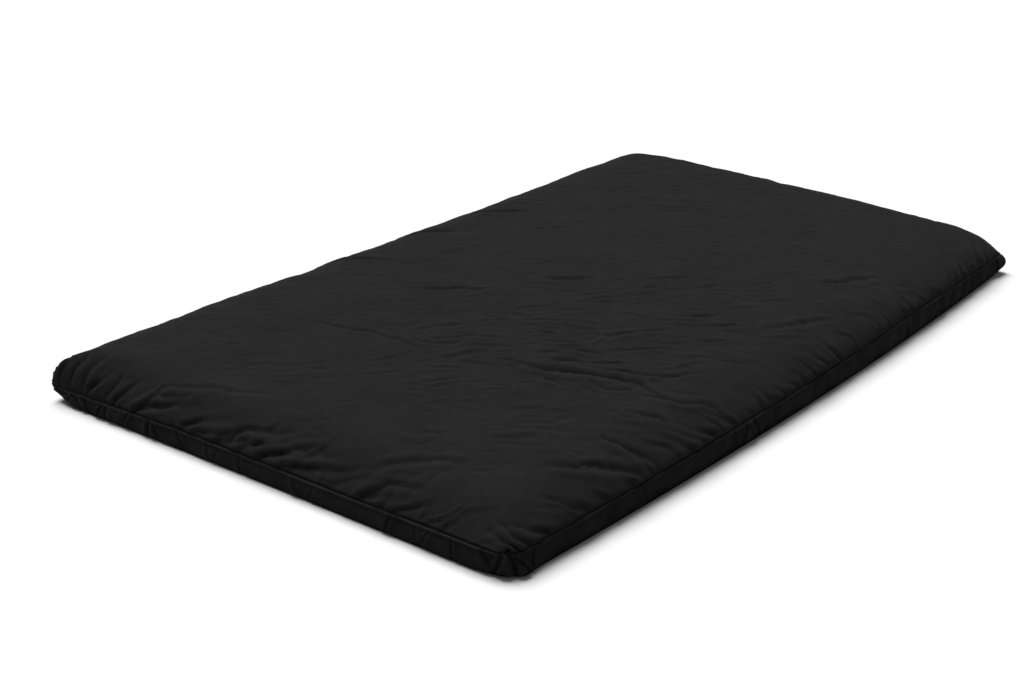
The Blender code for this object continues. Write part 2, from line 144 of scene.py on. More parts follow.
# Folds in the top panel: their paths over the cloth, in metres from the left foot corner across and along,
# how wide they are and how deep, or how high where the depth is negative
FOLDS = (
    # the worked-in patch towards the right foot corner
    (((0.85, 0.555), (0.95, 0.58), (1.03, 0.61), (1.11, 0.62)), 0.017, 0.0110),
    (((0.87, 0.53), (0.95, 0.545), (1.01, 0.57)), 0.005, -0.0030),
    (((1.00, 0.57), (1.06, 0.56), (1.10, 0.60)), 0.007, 0.0032),
    (((1.09, 0.63), (1.17, 0.60)), 0.007, 0.0038),
    (((0.88, 0.61), (0.94, 0.65)), 0.008, 0.0041),
    (((0.87, 0.67), (0.90, 0.69), (0.95, 0.71)), 0.008, 0.0038),
    (((0.87, 0.75), (0.91, 0.82), (0.96, 0.89)), 0.010, 0.0038),
    (((0.80, 0.55), (0.88, 0.57)), 0.007, 0.0038),
    (((0.74, 0.49), (0.81, 0.52)), 0.006, 0.0032),
    (((0.89, 0.41), (0.96, 0.47)), 0.006, -0.0026),
    (((1.05, 0.64), (1.12, 0.70), (1.15, 0.76)), 0.009, 0.0029),
    (((0.97, 0.74), (1.04, 0.82)), 0.008, 0.0026),
    (((0.92, 0.63), (0.99, 0.68), (1.04, 0.70)), 0.007, 0.0034),
    (((0.83, 0.62), (0.88, 0.66)), 0.006, 0.0030),
    (((0.98, 0.62), (1.04, 0.66), (1.12, 0.68)), 0.007, 0.0034),
    (((0.93, 0.52), (0.99, 0.53)), 0.006, 0.0030),
    (((1.12, 0.58), (1.19, 0.62), (1.24, 0.68)), 0.010, 0.0034),
    (((1.14, 0.50), (1.22, 0.55)), 0.009, 0.0034),
    # over the middle
    (((0.36, 0.46), (0.53, 0.50), (0.64, 0.50)), 0.007, 0.0029),
    (((0.62, 0.52), (0.67, 0.60), (0.76, 0.67)), 0.007, 0.0020),
    (((0.70, 0.75), (0.77, 0.80)), 0.008, 0.0029),
    (((0.92, 0.93), (1.00, 0.99)), 0.008, 0.0032),
    (((1.02, 0.97), (1.08, 1.03)), 0.008, 0.0026),
    (((0.39, 0.75), (0.52, 0.85)), 0.010, 0.0032),
    (((0.57, 0.98), (0.67, 1.06)), 0.010, 0.0032),
    (((0.91, 1.17), (0.96, 1.19), (1.02, 1.20)), 0.008, 0.0026),
    (((0.43, 1.60), (0.58, 1.67)), 0.012, 0.0020),
    (((1.12, 1.03), (1.20, 1.22)), 0.012, 0.0026),
    (((1.08, 1.37), (1.17, 1.53)), 0.012, 0.0026),
    (((0.92, 0.07), (0.98, 0.11), (1.07, 0.16)), 0.012, 0.0038),
    (((1.16, 0.22), (1.22, 0.31), (1.28, 0.41)), 0.014, 0.0038),
    (((1.17, 0.39), (1.22, 0.41), (1.26, 0.43)), 0.010, 0.0041),
    # drawn in from the left side
    (((0.07, 0.76), (0.14, 0.82), (0.24, 0.87)), 0.011, 0.0036),
    (((0.09, 1.04), (0.20, 1.14)), 0.010, 0.0032),
    (((0.10, 1.25), (0.23, 1.38)), 0.010, 0.0032),
    (((0.08, 1.38), (0.24, 1.49)), 0.009, 0.0030),
    # long ones that leave the foot seam at a slant
    (((0.15, 0.00), (0.18, 0.02), (0.21, 0.06)), 0.008, 0.0030),
    (((0.24, 0.00), (0.26, 0.03), (0.29, 0.07)), 0.008, 0.0032),
    (((0.30, 0.00), (0.35, 0.05), (0.47, 0.08)), 0.009, 0.0024),
    (((0.31, 0.00), (0.39, 0.04), (0.50, 0.065)), 0.011, 0.0030),
    (((0.45, 0.00), (0.50, 0.04), (0.57, 0.065)), 0.009, 0.0024),
    (((0.54, 0.00), (0.60, 0.045), (0.73, 0.075)), 0.012, 0.0034),
    (((0.66, 0.00), (0.74, 0.05), (0.86, 0.07)), 0.011, 0.0032),
    (((0.72, 0.00), (0.79, 0.03), (0.90, 0.05)), 0.009, 0.0026),
    (((0.92, 0.00), (0.97, 0.05), (1.07, 0.075)), 0.011, 0.0034),
    (((0.30, 0.05), (0.46, 0.10), (0.60, 0.14)), 0.008, 0.0020),
    # short ones at the right foot corner, where both seams are drawn in
    (((1.292, 0.002), (1.268, 0.030)), 0.005, 0.0036),
    (((1.290, 0.05), (1.24, 0.035), (1.19, 0.04)), 0.008, 0.0026),
    (((1.290, 0.08), (1.25, 0.06), (1.20, 0.07)), 0.008, 0.0028),
)
PULL_ANGLE = math.radians(41)  # the way the askew cloth is drawn, from across towards along
# Where the seams gather most cloth: from and to along each side, how many folds run in from there, and how
# far each leans along the side for every metre that it runs in
GATHERS = {
    "foot": ((0.05, 0.25, 6, 0.5), (0.28, 0.62, 6, 2.4), (0.65, 0.90, 4, 2.4), (0.95, 1.20, 5, 1.0)),
    "right": ((0.10, 0.30, 5, -1.0), (0.38, 0.70, 9, -0.7), (0.78, 1.20, 8, -0.4), (1.30, 1.68, 7, 0.2),
              (1.72, 1.97, 7, 0.7)),
    "head": ((0.05, 0.30, 6, 0.5), (0.50, 0.90, 7, 0.5)),
    "left": ((0.10, 0.60, 8, -0.7), (0.90, 1.60, 14, -0.7)),
}
PLEAT_DEPTH = 2.3  # all pleats' depths are scaled by this
PLEAT_WIDTHS, PLEAT_LEAN = (0.0038, 0.0070), 0.9
SMALL_PLEATS, SMALL_PLEAT_DEPTHS = 7, (0.0001, 0.0008)  # scattered ones, to a metre
# How far a border's soft lumps stand out, their size, and the same for the fine ones over them
LUMPS, LUMP_CELL = {"foot": 0.0022, "right": 0.0036, "head": 0.0026, "left": 0.0022}, 0.032
FINE_LUMPS, FINE_LUMP_CELL = 0.0004, 0.013
BORDER_HEIGHT = 0.045  # about, for the lean of pleats and the size of lumps
MOST_DRAWN_UP = 0.0028  # by a pleat, at a border's lower edge
# Upright pleats in the borders: places along each side, and how deep
PLEATS = {
    "foot": ((0.060, 0.0016), (0.085, 0.0020), (0.110, 0.0028), (0.157, 0.0040), (0.178, 0.0022),
             (0.235, 0.0020), (0.305, 0.0038), (0.325, 0.0022), (0.395, 0.0022), (0.470, 0.0012),
             (0.56, 0.0010), (0.71, 0.0016), (0.745, 0.0012), (0.93, 0.0018), (1.02, 0.0014),
             (1.08, 0.0016), (1.150, 0.0022), (1.172, 0.0034)),
    "right": ((0.020, 0.0036), (0.045, 0.0020), (0.16, 0.0008), (0.36, 0.0012), (0.60, 0.0018),
              (0.655, 0.0034), (0.69, 0.0026), (0.73, 0.0038), (0.775, 0.0020), (1.02, 0.0014),
              (1.27, 0.0014), (1.40, 0.0024), (1.54, 0.0020), (1.61, 0.0044), (1.66, 0.0016),
              (1.745, 0.0018), (1.80, 0.0044), (1.845, 0.0030), (1.90, 0.0014), (1.95, 0.0034)),
    "head": ((0.06, 0.0030), (0.11, 0.0020), (0.34, 0.0014), (0.62, 0.0018), (0.66, 0.0012),
             (1.02, 0.0022), (1.09, 0.0030)),
    "left": (),
}
LEFT_PLEATING = 0.25  # against the other sides, so that the pull lies flat wherever the slider is

# The inside
CASING_CELL, FILLING_CELL = 0.016, 0.035
CASING_INSET = 0.009  # how far the casing lies inside the cover's outline
CASING_CORNER_INSET = 0.007  # more, at the corners
CASING_DROP = 0.0065  # and below its top
# Where the cover's worked-in patch presses it down, how far that reaches, and how deep
PATCH, PATCH_REACH, PATCH_DENT = (0.80, -0.42), (0.14, 0.09), 0.003
CASING_EASE = 0.0025  # the casing lies this much further below the cover where the top is full
CASING_FABRIC = 0.0008
TUFT_PULL, TUFT_SPREAD = 0.005, 0.045
CORE_SHARE = 2.6  # the core's thickness, against one batt
LAYER_GAP = 0.0002  # left free at each face of a layer
FILLING_GAP = 0.0004  # and between the filling and its casing
SIDE_ROUNDING = 0.08  # how far a layer's sides round out, against its thickness
WASHER_RADIUS, WASHER_THICKNESS, WASHER_EDGE = 0.011, 0.0025, 0.0006
WASHER_GAP = 0.0003  # between a washer and the casing
TWINE_RADIUS, TWINE_TURN = 0.0012, 0.006

# The zip
COIL_PITCH, COIL_SLANT, TOOTH_SHARE = 0.0016, 0.0004, 0.55
TEETH_GAPS = (0.0004, 0.0002)  # the teeth are this much smaller than the model's coil, across and up
STITCH_PITCH, STITCH_SHARE = 0.0030, 0.72
STITCH_DEEP, STITCH_HIGH, STITCH_ENDS = 0.0009, 0.0006, 0.006
STITCH_MARGIN = 0.0030  # from a facing's folded edge
STITCH_PROUD = 0.0018  # how far the thread's middle stands out from the zip's side

# Colours, from dark to light
COTTON_BLACKS, LINT = ((0.0060, 0.0060, 0.0061), (0.0110, 0.0109, 0.0108)), (0.03, 0.03, 0.029)
PAINTED_CREST_LIGHT_HOLLOW_SHADE = (0.48, 0.52, 0.78, 1.22)  # pointiness from and to, and the cloth's brightness there: painted shade in hollows, painted highlight on crests
TAPE_BLACKS = (0.006, 0.006, 0.006), (0.017, 0.017, 0.018)
COIL_BLACKS = (0.011, 0.011, 0.011), (0.020, 0.020, 0.020)
THREAD_BLACKS = (0.005, 0.005, 0.005), (0.014, 0.014, 0.014)
OXIDE = (0.018, 0.018, 0.019), (0.045, 0.044, 0.042)
CALICO, HUSK = ((0.66, 0.60, 0.48), (0.78, 0.73, 0.62)), (0.25, 0.17, 0.09)
BATT = (0.72, 0.68, 0.58), (0.86, 0.84, 0.78)
FELT = (0.42, 0.37, 0.29), (0.56, 0.51, 0.42)
TWINE = (0.48, 0.41, 0.30), (0.70, 0.64, 0.52)
FOAM = (0.80, 0.72, 0.47), (0.55, 0.47, 0.27)  # the walls of its cells, and the hollows, darker as painted shade
COVER_THREADS, CALICO_THREADS = 0.0006, 0.0008  # from one thread to the next

# The camera, from the left foot corner, and the light
CAMERA_PLACE = (2.609, -1.7735, 1.3153)
LENS, AZIMUTH, PITCH, ROLL = 55.95, 38.353, 21.456, 0.135
SUN_FROM, SUN_WIDTH, SUN_STRENGTH = (-0.355, 0.115, 0.92), 44, 6.8
WORLD_STRENGTH, FLOOR_GREY, FLOOR_SIZE = 0.285, 0.45, 30


# ---------------------------------------------------------------- the cover's form


def outline(x, y):
    """Plan points of the cover from a plain rectangle's: x from 0 to 1 across and y from -1 to 1 along."""
    u = 2 * x - 1
    right = LEFT_X + WIDTH + RIGHT_BOW * (1 - y * y)
    px = LEFT_X + (right - LEFT_X) * x
    head, foot = ((1 + y) / 2) ** 3, ((1 - y) / 2) ** 3
    py = FOOT_Y + LENGTH * (1 + y) / 2
    py = py + head * (HEAD_BOW * (1 - u * u) + HEAD_SKEW * (1 - x)) + foot * FOOT_HOLLOW * (1 - u * u)
    for (across, along), (pull, reach) in CORNER_PULLS.items():
        off_x = (1 - x if across > 0 else x) * WIDTH
        off_y = (1 - along * y) * LENGTH / 2
        share = np.clip(1 - off_x / reach, 0, 1) ** 2 * np.clip(1 - off_y / reach, 0, 1) ** 2
        px = px - across * pull * share
        py = py - along * pull * share
    return px, py


def over_shoulder(distance, width, roundness=1.0):
    """How far a shoulder has risen at a distance from its seam: 0 there, 1 from its width on."""
    share = np.clip(distance / width, 0, 1)
    slope = 1 - (1 - share) ** 2
    return roundness * np.sqrt(slope) + (1 - roundness) * slope


def rise(x, y):
    """How far the top has risen over the shoulders: 0 at the seam, about 1 over the middle."""
    along = (y + 1) / 2
    right = over_shoulder((1 - x) * WIDTH, SHOULDERS["right"], np.interp(along, (0, 1), RIGHT_ROUNDNESS))
    across = over_shoulder(x * WIDTH, SHOULDERS["left"]) * right
    near_left = np.clip(1 - 4 * x, 0, 1) ** 2
    foot = SHOULDERS["foot"] + (LEFT_FOOT_SHOULDER - SHOULDERS["foot"]) * near_left
    roundness = FOOT_ROUNDNESS + (1 - FOOT_ROUNDNESS) * near_left
    lengthwise = over_shoulder(along * LENGTH, foot, roundness)
    lengthwise = lengthwise * over_shoulder((1 - along) * LENGTH, SHOULDERS["head"])
    full = (1 - along) * ((1 - x) * FULLNESS["left_foot"] + x * FULLNESS["right_foot"])
    full = full + along * ((1 - x) * FULLNESS["left_head"] + x * FULLNESS["right_head"])
    risen = (1 - full) * across * lengthwise + full * np.minimum(across, lengthwise)
    return risen * (1 - DOME * ((2 * x - 1) ** 2 + y * y) / 2)


def seam_height(x, y):
    """The top seam's height at the border, carried on smoothly over the middle."""
    along = (y + 1) / 2
    places = {"left": (1 - along, x * WIDTH), "right": (along, (1 - x) * WIDTH)}
    places |= {"foot": (x, along * LENGTH), "head": (1 - x, (1 - along) * LENGTH)}
    total = height = 0
    for side, (share, distance) in places.items():
        weight = 1 / (distance + 0.01)
        heights = SEAM_Z[side]
        height = height + weight * np.interp(share, np.linspace(0, 1, len(heights)), heights)
        total = total + weight
    px, py = outline(x, y)
    wave = np.sin(71 * px + 2 * np.sin(9 * py)) * np.sin(53 * py + 2 * np.sin(11 * px))
    return height / total + SEAM_WAVE * wave


def top_point(x, y):
    """The top's surface over a place on the plain rectangle."""
    px, py = outline(x, y)
    low = seam_height(x, y)
    crown = CROWN_Z - CROWN_FALL * (2 * x - 1)
    off_x, off_y = x - HEAD_FILL_PLACE[0], y - HEAD_FILL_PLACE[1]
    crown = crown + HEAD_FILL * np.exp(-(off_x**2 / HEAD_FILL_SPREAD[0] + off_y**2 / HEAD_FILL_SPREAD[1]))
    return np.stack([px, py, low + (crown - low) * rise(x, y)], axis=-1)


def run_along(points):
    """Distances along a line of points from its start."""
    return np.concatenate([[0], np.cumsum(np.linalg.norm(np.diff(points, axis=0), axis=1))])


def even_places(line, cell):
    """Places from 0 to 1 along a line, an odd number of them, evenly spaced over the cloth, and their
    distances along it."""
    fine = (1 - np.cos(np.linspace(0, math.pi, 800))) / 2
    run = run_along(line(fine))
    even = np.linspace(0, run[-1], 2 * round(run[-1] / cell / 2) + 1)
    return np.interp(even, run, fine), even


def panel_places(point, cell):
    """A grid of places on the plain rectangle that is even over the cloth, whose surface is point, and the
    cloth's flat coordinates."""
    x, cloth_x = even_places(lambda t: point(t, 0 * t), cell)
    y, cloth_y = even_places(lambda t: point(0 * t + 0.5, 2 * t - 1), cell)
    gx, gy = np.meshgrid(x, 2 * y - 1, indexing="ij")
    return gx, gy, np.stack(np.meshgrid(cloth_x, cloth_y, indexing="ij"), axis=-1)


def top_grid(cell):
    """Points of the top panel as an array over its width and length, and the cloth's flat coordinates."""
    gx, gy, flat = panel_places(top_point, cell)
    return top_point(gx, gy), flat


def side_line(side, share):
    """The rectangle's place at a share of the way along a side, walked with the mattress on the left."""
    one = np.ones_like(share)
    return {
        "foot": (share, -one),
        "right": (one, 2 * share - 1),
        "head": (1 - share, one),
        "left": (0 * one, 1 - 2 * share),
    }[side]


def seam_line(side, share):
    """Points of the top seam at shares of the way along a side."""
    x, y = side_line(side, share)
    return np.stack([*outline(x, y), seam_height(x, y)], axis=-1)


# ---------------------------------------------------------------- grids of points


def normals_of(points):
    """Unit normals of a grid of points, on the side of first axis cross second axis."""
    normals = np.cross(np.gradient(points, axis=0), np.gradient(points, axis=1))
    return normals / np.maximum(np.linalg.norm(normals, axis=-1, keepdims=True), 1e-12)


def smooth_noise(a, b, cell, seed):
    """Soft bumps of about the given size between -1 and 1, the same each run."""
    source = np.random.default_rng(seed)
    a, b = a / cell, b / cell
    low_a, low_b = np.floor(a.min()), np.floor(b.min())
    table = source.uniform(-1, 1, (int(a.max() - low_a) + 3, int(b.max() - low_b) + 3))
    whole_a, whole_b = np.floor(a - low_a).astype(int), np.floor(b - low_b).astype(int)
    part_a, part_b = a - low_a - whole_a, b - low_b - whole_b
    part_a, part_b = (p * p * (3 - 2 * p) for p in (part_a, part_b))
    near = table[whole_a, whole_b] * (1 - part_a) + table[whole_a + 1, whole_b] * part_a
    far = table[whole_a, whole_b + 1] * (1 - part_a) + table[whole_a + 1, whole_b + 1] * part_a
    return near * (1 - part_b) + far * part_b


def crease(flat, height, path, width, depth, lean=0.0):
    """Adds a fold along a path in the cloth's flat coordinates to its height: a sharp valley between two
    ridges, dying away towards both ends. Lean makes the ridge on its left higher, and the other lower."""
    path = np.array(path, float)
    low, high = path.min(axis=0) - 5 * width - WANDER, path.max(axis=0) + 5 * width + WANDER
    rows = slice(*np.searchsorted(flat[:, 0, 0], (low[0], high[0])))
    columns = slice(*np.searchsorted(flat[0, :, 1], (low[1], high[1])))
    spot = flat[rows, columns]
    if not spot.size:
        return
    wandering = [WANDER * smooth_noise(spot[..., 0], spot[..., 1], WANDER_CELL, seed) for seed in (11, 12)]
    spot = spot + np.stack(wandering, axis=-1)
    steps = np.diff(path, axis=0)
    lengths = np.linalg.norm(steps, axis=1)
    nearest = np.full(spot.shape[:2], np.inf)
    side, run = np.zeros_like(nearest), np.zeros_like(nearest)
    for start, step, length, before in zip(path, steps, lengths, np.cumsum(lengths) - lengths):
        away = spot - start
        share = np.clip(away @ step / length**2, 0, 1)
        off = away - share[..., None] * step
        distance = np.linalg.norm(off, axis=-1)
        closer = distance < nearest
        nearest = np.where(closer, distance, nearest)
        turn = step[0] * away[..., 1] - step[1] * away[..., 0]
        side = np.where(closer, np.sign(turn), side)
        run = np.where(closer, before + share * length, run)
    across = nearest * side / width
    from_edge = min(*path[0], *(flat[-1, -1] - path[0]))
    share = np.clip(run / lengths.sum(), 0, 1)
    taper = np.cos(share * math.pi / 2) if from_edge < 0.006 else np.sin(share * math.pi) ** 0.8
    ridges = (0.55 + lean) * np.exp(-(abs(across - 1.2) ** 1.5) * 1.3)
    ridges = ridges + (0.55 - lean) * np.exp(-(abs(across + 1.2) ** 1.5) * 1.3)
    height[rows, columns] += FOLD_DEPTH * depth * taper * (ridges - np.exp(-(abs(across) ** 1.3) * 1.5))


def resample(grid, rows, columns):
    """A grid read smoothly at another count of rows and columns."""
    for axis, count in ((0, rows), (1, columns)):
        grid = np.moveaxis(grid, axis, 0)
        place = np.linspace(0, len(grid) - 1, count)
        whole = np.minimum(place.astype(int), len(grid) - 2)
        t = (place - whole).reshape(-1, *[1] * (grid.ndim - 1))
        a, b, c, d = (grid[np.clip(whole + k, 0, len(grid) - 1)] for k in (-1, 0, 1, 2))
        bend = (2 * a - 5 * b + 4 * c - d) * t**2 + (3 * b - a - 3 * c + d) * t**3
        grid = np.moveaxis(b + ((c - a) * t + bend) / 2, 0, axis)
    return grid


# ---------------------------------------------------------------- meshes


def link(name, data, material=None):
    """A new object in the scene."""
    obj = bpy.data.objects.new(name, data)
    if material:
        data.materials.append(material)
    bpy.context.scene.collection.objects.link(obj)
    return obj


def stand_for(piece, node):
    """Fixes a piece to the mattress, in place of a node of the model."""
    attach(piece, "mattress")
    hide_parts(node)


def mesh_of(name, points, faces, flat=None):
    """A smooth mesh from points, arrays of faces with equal corner counts, and flat coordinates a point."""
    corners = np.concatenate([f.ravel() for f in faces])
    counts = np.concatenate([np.full(len(f), f.shape[1]) for f in faces])
    mesh = bpy.data.meshes.new(name)
    mesh.vertices.add(len(points))
    mesh.vertices.foreach_set("co", points.astype(np.float32).ravel())
    mesh.loops.add(len(corners))
    mesh.loops.foreach_set("vertex_index", corners.astype(np.int32))
    mesh.polygons.add(len(counts))
    mesh.polygons.foreach_set("loop_start", (np.cumsum(counts) - counts).astype(np.int32))
    mesh.update(calc_edges=True)
    if flat is not None:
        layer = mesh.uv_layers.new(name="cloth")
        layer.data.foreach_set("uv", flat[corners].astype(np.float32).ravel())
    mesh.shade_smooth()
    return mesh


def numbered(rows, columns, first=0):
    """The indices of a grid's points, row by row."""
    return first + np.arange(rows * columns).reshape(rows, columns)


def quads(rows, columns, first=0):
    """Faces over a grid of points."""
    index = numbered(rows, columns, first)
    around = (index[:-1, :-1], index[1:, :-1], index[1:, 1:], index[:-1, 1:])
    return np.stack(around, axis=-1).reshape(-1, 4)


def rim_of(index):
    """The indices round the edge of a grid, anticlockwise."""
    return np.concatenate([index[:-1, 0], index[-1, :-1], index[:0:-1, -1], index[0, :0:-1]])


def cloth_shell(name, points, flat, material, thickness=FABRIC, step=1):
    """Cloth with an outer face through a grid of points, an inner face a thickness below, and closed edges.
    The inner face may be coarser: step 2 takes every second point, at the lowest of those round it."""
    rows, columns = points.shape[:2]
    normals = normals_of(points)
    depth = np.full((rows, columns), -thickness)
    if step > 1:
        for i in (-1, 0, 1):
            for j in (-1, 0, 1):
                drop = ((np.roll(points, (i, j), axis=(0, 1)) - points) * normals).sum(axis=-1)
                depth[1:-1, 1:-1] = np.minimum(depth, drop - thickness)[1:-1, 1:-1]
    inner = (points + normals * depth[..., None])[::step, ::step]
    inner_rows, inner_columns = inner.shape[:2]
    outer_faces = quads(rows, columns)
    inner_faces = quads(inner_rows, inner_columns, rows * columns)[:, ::-1]
    rim = rim_of(numbered(rows, columns))
    inner_rim = rim_of(numbered(inner_rows, inner_columns, rows * columns))
    inner_next = np.roll(inner_rim, -1)
    if step == 1:
        rim_faces = np.stack([np.roll(rim, -1), rim, inner_rim, inner_next], axis=-1)
    else:
        rim_faces = np.stack([np.roll(rim, -2)[::2], rim[1::2], rim[::2], inner_rim, inner_next], axis=-1)
    all_points = np.concatenate([points.reshape(-1, 3), inner.reshape(-1, 3)])
    all_flat = np.concatenate([flat.reshape(-1, 2), flat[::step, ::step].reshape(-1, 2)])
    mesh = mesh_of(name, all_points, [outer_faces, inner_faces, rim_faces], all_flat)
    return link(name, mesh, material)


def with_tucks(points, flat, moves):
    """A grid of points with rings of cloth added round it. Each move is how far a ring lies inwards, and
    how far below the edge."""
    direction = 0
    for axis in (0, 1):
        lines, inwards = np.moveaxis(points, axis, 0), np.zeros_like(points)
        for edge, beside in ((0, 3), (-1, -4)):
            np.moveaxis(inwards, axis, 0)[edge, :, :2] = (lines[beside] - lines[edge])[:, :2]
        direction = direction + inwards / np.maximum(np.linalg.norm(inwards, axis=-1, keepdims=True), 1e-9)
    for depth, drop in moves:
        moved = points + direction * depth
        moved[..., 2] -= drop
        points, flat = pad_ring(points, moved), pad_ring(flat, flat)
        direction = pad_ring(direction, direction)
    return points, flat


def pad_ring(grid, moved):
    """The grid with its moved edge points as a ring round it."""
    padded = np.pad(grid, ((1, 1), (1, 1), (0, 0)), mode="edge")
    around = np.pad(moved, ((1, 1), (1, 1), (0, 0)), mode="edge")
    padded[0], padded[-1], padded[:, 0], padded[:, -1] = around[0], around[-1], around[:, 0], around[:, -1]
    return padded


# ---------------------------------------------------------------- how the cloth lies


def settle(points):
    """Moves of a panel's points as it settles over its filling. It is pinned at its seams, cut a little
    large and pulled askew, so that it buckles along the pull."""
    rows, columns = points.shape[:2]
    flat_xy = points[..., :2]
    start = points.copy()
    start[1:-1, 1:-1, 2] += 0.0006 * smooth_noise(flat_xy[..., 0], flat_xy[..., 1], 0.03, 3)[1:-1, 1:-1]
    sheet = link("settling", mesh_of("settling", start.reshape(-1, 3), [quads(rows, columns)]))
    sheet.shape_key_add(name="Basis")
    cut = sheet.shape_key_add(name="cut")
    centre = points.mean(axis=(0, 1))
    rest = centre + (points - centre) * (1 + SLACK)
    rest[..., 0] -= ASKEW * (points[..., 1] - centre[1])
    cut.data.foreach_set("co", rest.astype(np.float32).ravel())
    pins = sheet.vertex_groups.new(name="seams")
    pins.add(rim_of(numbered(rows, columns)).tolist(), 1.0, "REPLACE")

    under = (points - 0.002 * normals_of(points))[::2, ::2]
    body = link("settling_base", mesh_of("settling_base", under.reshape(-1, 3), [quads(*under.shape[:2])]))
    body.modifiers.new("Collision", "COLLISION")
    body.collision.thickness_outer = 0.001
    body.collision.cloth_friction = 20

    cloth = sheet.modifiers.new("Cloth", "CLOTH")
    cloth.point_cache.frame_start = 1
    cloth.point_cache.frame_end = SETTLING_FRAMES
    settings = cloth.settings
    settings.rest_shape_key = cut
    settings.vertex_group_mass = "seams"
    settings.quality = 4
    settings.mass = 0.02
    settings.tension_stiffness = settings.compression_stiffness = 12
    settings.shear_stiffness = 8
    settings.bending_stiffness = 1.2
    settings.air_damping = 3
    settings.effector_weights.gravity = 0.3
    cloth.collision_settings.distance_min = 0.001
    for step in range(1, SETTLING_FRAMES + 1):
        bpy.context.scene.frame_set(step)
    settled = sheet.evaluated_get(bpy.context.evaluated_depsgraph_get()).data
    found = np.empty(rows * columns * 3, np.float32)
    settled.vertices.foreach_get("co", found)
    for obj in (sheet, body):
        bpy.data.objects.remove(obj)
    bpy.context.scene.frame_set(1)
    moves = found.reshape(points.shape) - points
    size = np.maximum(np.linalg.norm(moves, axis=-1, keepdims=True), 1e-9)
    return moves * np.minimum(1, MOST_MOVE / size)


def undulation(flat):
    """Low swells of the filling, and fine shallow wrinkles drawn out along the pull."""
    s, t = flat[..., 0], flat[..., 1]
    along = s * math.cos(PULL_ANGLE) + t * math.sin(PULL_ANGLE)
    across = t * math.cos(PULL_ANGLE) - s * math.sin(PULL_ANGLE)

    def drawn_out(layers, across):
        return sum(h * smooth_noise(along / stretch, across, cell, seed) for h, stretch, cell, seed in layers)

    patchy = np.clip(0.55 + 0.7 * smooth_noise(s, t, 0.30, 7), 0.15, 1)
    wandering = across + WRINKLE_WANDER * smooth_noise(s, t, 0.05, 10)
    return drawn_out(SWELLS, across) + WRINKLE_HEIGHT * patchy * drawn_out(WRINKLES, wandering)


def drawn_folds(flat, height):
    """Adds small folds all over, most of them along the pull, and closest where the cloth was worked most."""
    source = np.random.default_rng(17)
    width, length = flat[-1, -1]
    margin = 0.04
    anywhere, most_worked, at_edge = FOLD_SHARES
    for s, t in source.uniform((margin, margin), (width - margin, length - margin), (FOLD_COUNT, 2)):
        off_s, off_t = s - WORKED_PLACE[0], t - WORKED_PLACE[1]
        worked = math.exp(-(off_s**2) / WORKED_SPREAD[0] - off_t**2 / WORKED_SPREAD[1])
        edge = math.exp(-min(s, width - s, t, length - t) / 0.10)
        depth = source.uniform(*FOLD_DEPTHS) * (anywhere + most_worked * worked + at_edge * edge)
        reach = source.uniform(*FOLD_REACHES)
        angle = PULL_ANGLE + source.normal(0, FOLD_STRAY)
        bend = source.uniform(-FOLD_BEND, FOLD_BEND)
        path = [(s - reach * math.cos(angle - bend), t - reach * math.sin(angle - bend)), (s, t)]
        path.append((s + reach * math.cos(angle + bend), t + reach * math.sin(angle + bend)))
        crease(flat, height, path, source.uniform(*FOLD_WIDTHS), depth, source.uniform(-FOLD_LEAN, FOLD_LEAN))


def gathers(flat, height):
    """Adds folds that run in from the seams where they gather the cloth, and weaker ones between them."""
    source = np.random.default_rng(21)
    width, length = flat[-1, 0, 0], flat[0, -1, 1]
    # Each side's whole length, and the cloth's flat coordinates of a place along it and in from it
    sides = {
        "foot": (width, lambda a, b: (a, b)),
        "right": (length, lambda a, b: (width - b, a)),
        "head": (width, lambda a, b: (width - a, length - b)),
        "left": (length, lambda a, b: (b, length - a)),
    }
    for side, groups in GATHERS.items():
        whole, placed = sides[side]
        scattered = ((0.05, whole - 0.05, round(whole / GATHER_SPACING), groups[0][-1]),)
        for group, (start, end, count, slant) in enumerate(groups + scattered):
            strong = group < len(groups)
            stray = source.uniform(-0.4, 0.4, count) * (end - start) / count
            for place in np.linspace(start, end, count) + stray:
                reach = source.uniform(*(GATHER_REACHES if strong else SCATTERED_REACHES))
                lean = (slant + source.uniform(-0.4, 0.4)) * reach
                bend = source.uniform(-0.2, 0.2) * reach
                path = [(place, 0.001), (place + lean / 2 + bend, reach / 2), (place + lean, reach)]
                depth = source.uniform(*GATHER_DEPTHS) * (1 if strong else SCATTERED_DEPTH)
                path = [placed(a, b) for a, b in path]
                crease(flat, height, path, source.uniform(*FOLD_WIDTHS), depth, source.uniform(-0.4, 0.4))


def relief(flat):
    """Height of the top panel's folds over its settled form."""
    height = undulation(flat)
    gathers(flat, height)
    drawn_folds(flat, height)
    for number, (path, width, depth) in enumerate(FOLDS):
        crease(flat, height, path, width, depth, 0.3 * math.sin(5 * number))
    edge = np.minimum(flat, flat[-1, -1] - flat).min(axis=-1)
    deepest = DEEPEST * (DEEPEST_AT_SEAM + (1 - DEEPEST_AT_SEAM) * np.clip(edge / 0.25, 0, 1))
    return deepest * np.tanh(height / deepest) * np.clip(edge / SEAM_FADE, 0, 1)


# ---------------------------------------------------------------- the cover


def build_top_panel(cloth):
    """The panel that rolls over the shoulders: its form, then how it settles, then its folds."""
    points, flat = top_grid(CELL)
    coarse, _ = top_grid(SETTLING_CELL)
    points = points + resample(settle(coarse), *points.shape[:2])
    points = points + normals_of(points) * relief(flat)[..., None]
    points, flat = with_tucks(points, flat, ((FIRST_TUCK, 0.0002), (TUCK - FIRST_TUCK, 0.0002)))
    top = cloth_shell("top_panel_cloth", points, flat, cloth, step=2)
    finish_sheet(top, "cover_top_panel")


def finish_sheet(piece, node):
    """Fixes a piece to the mattress, in place of a node of the model."""
    stand_for(piece, node)


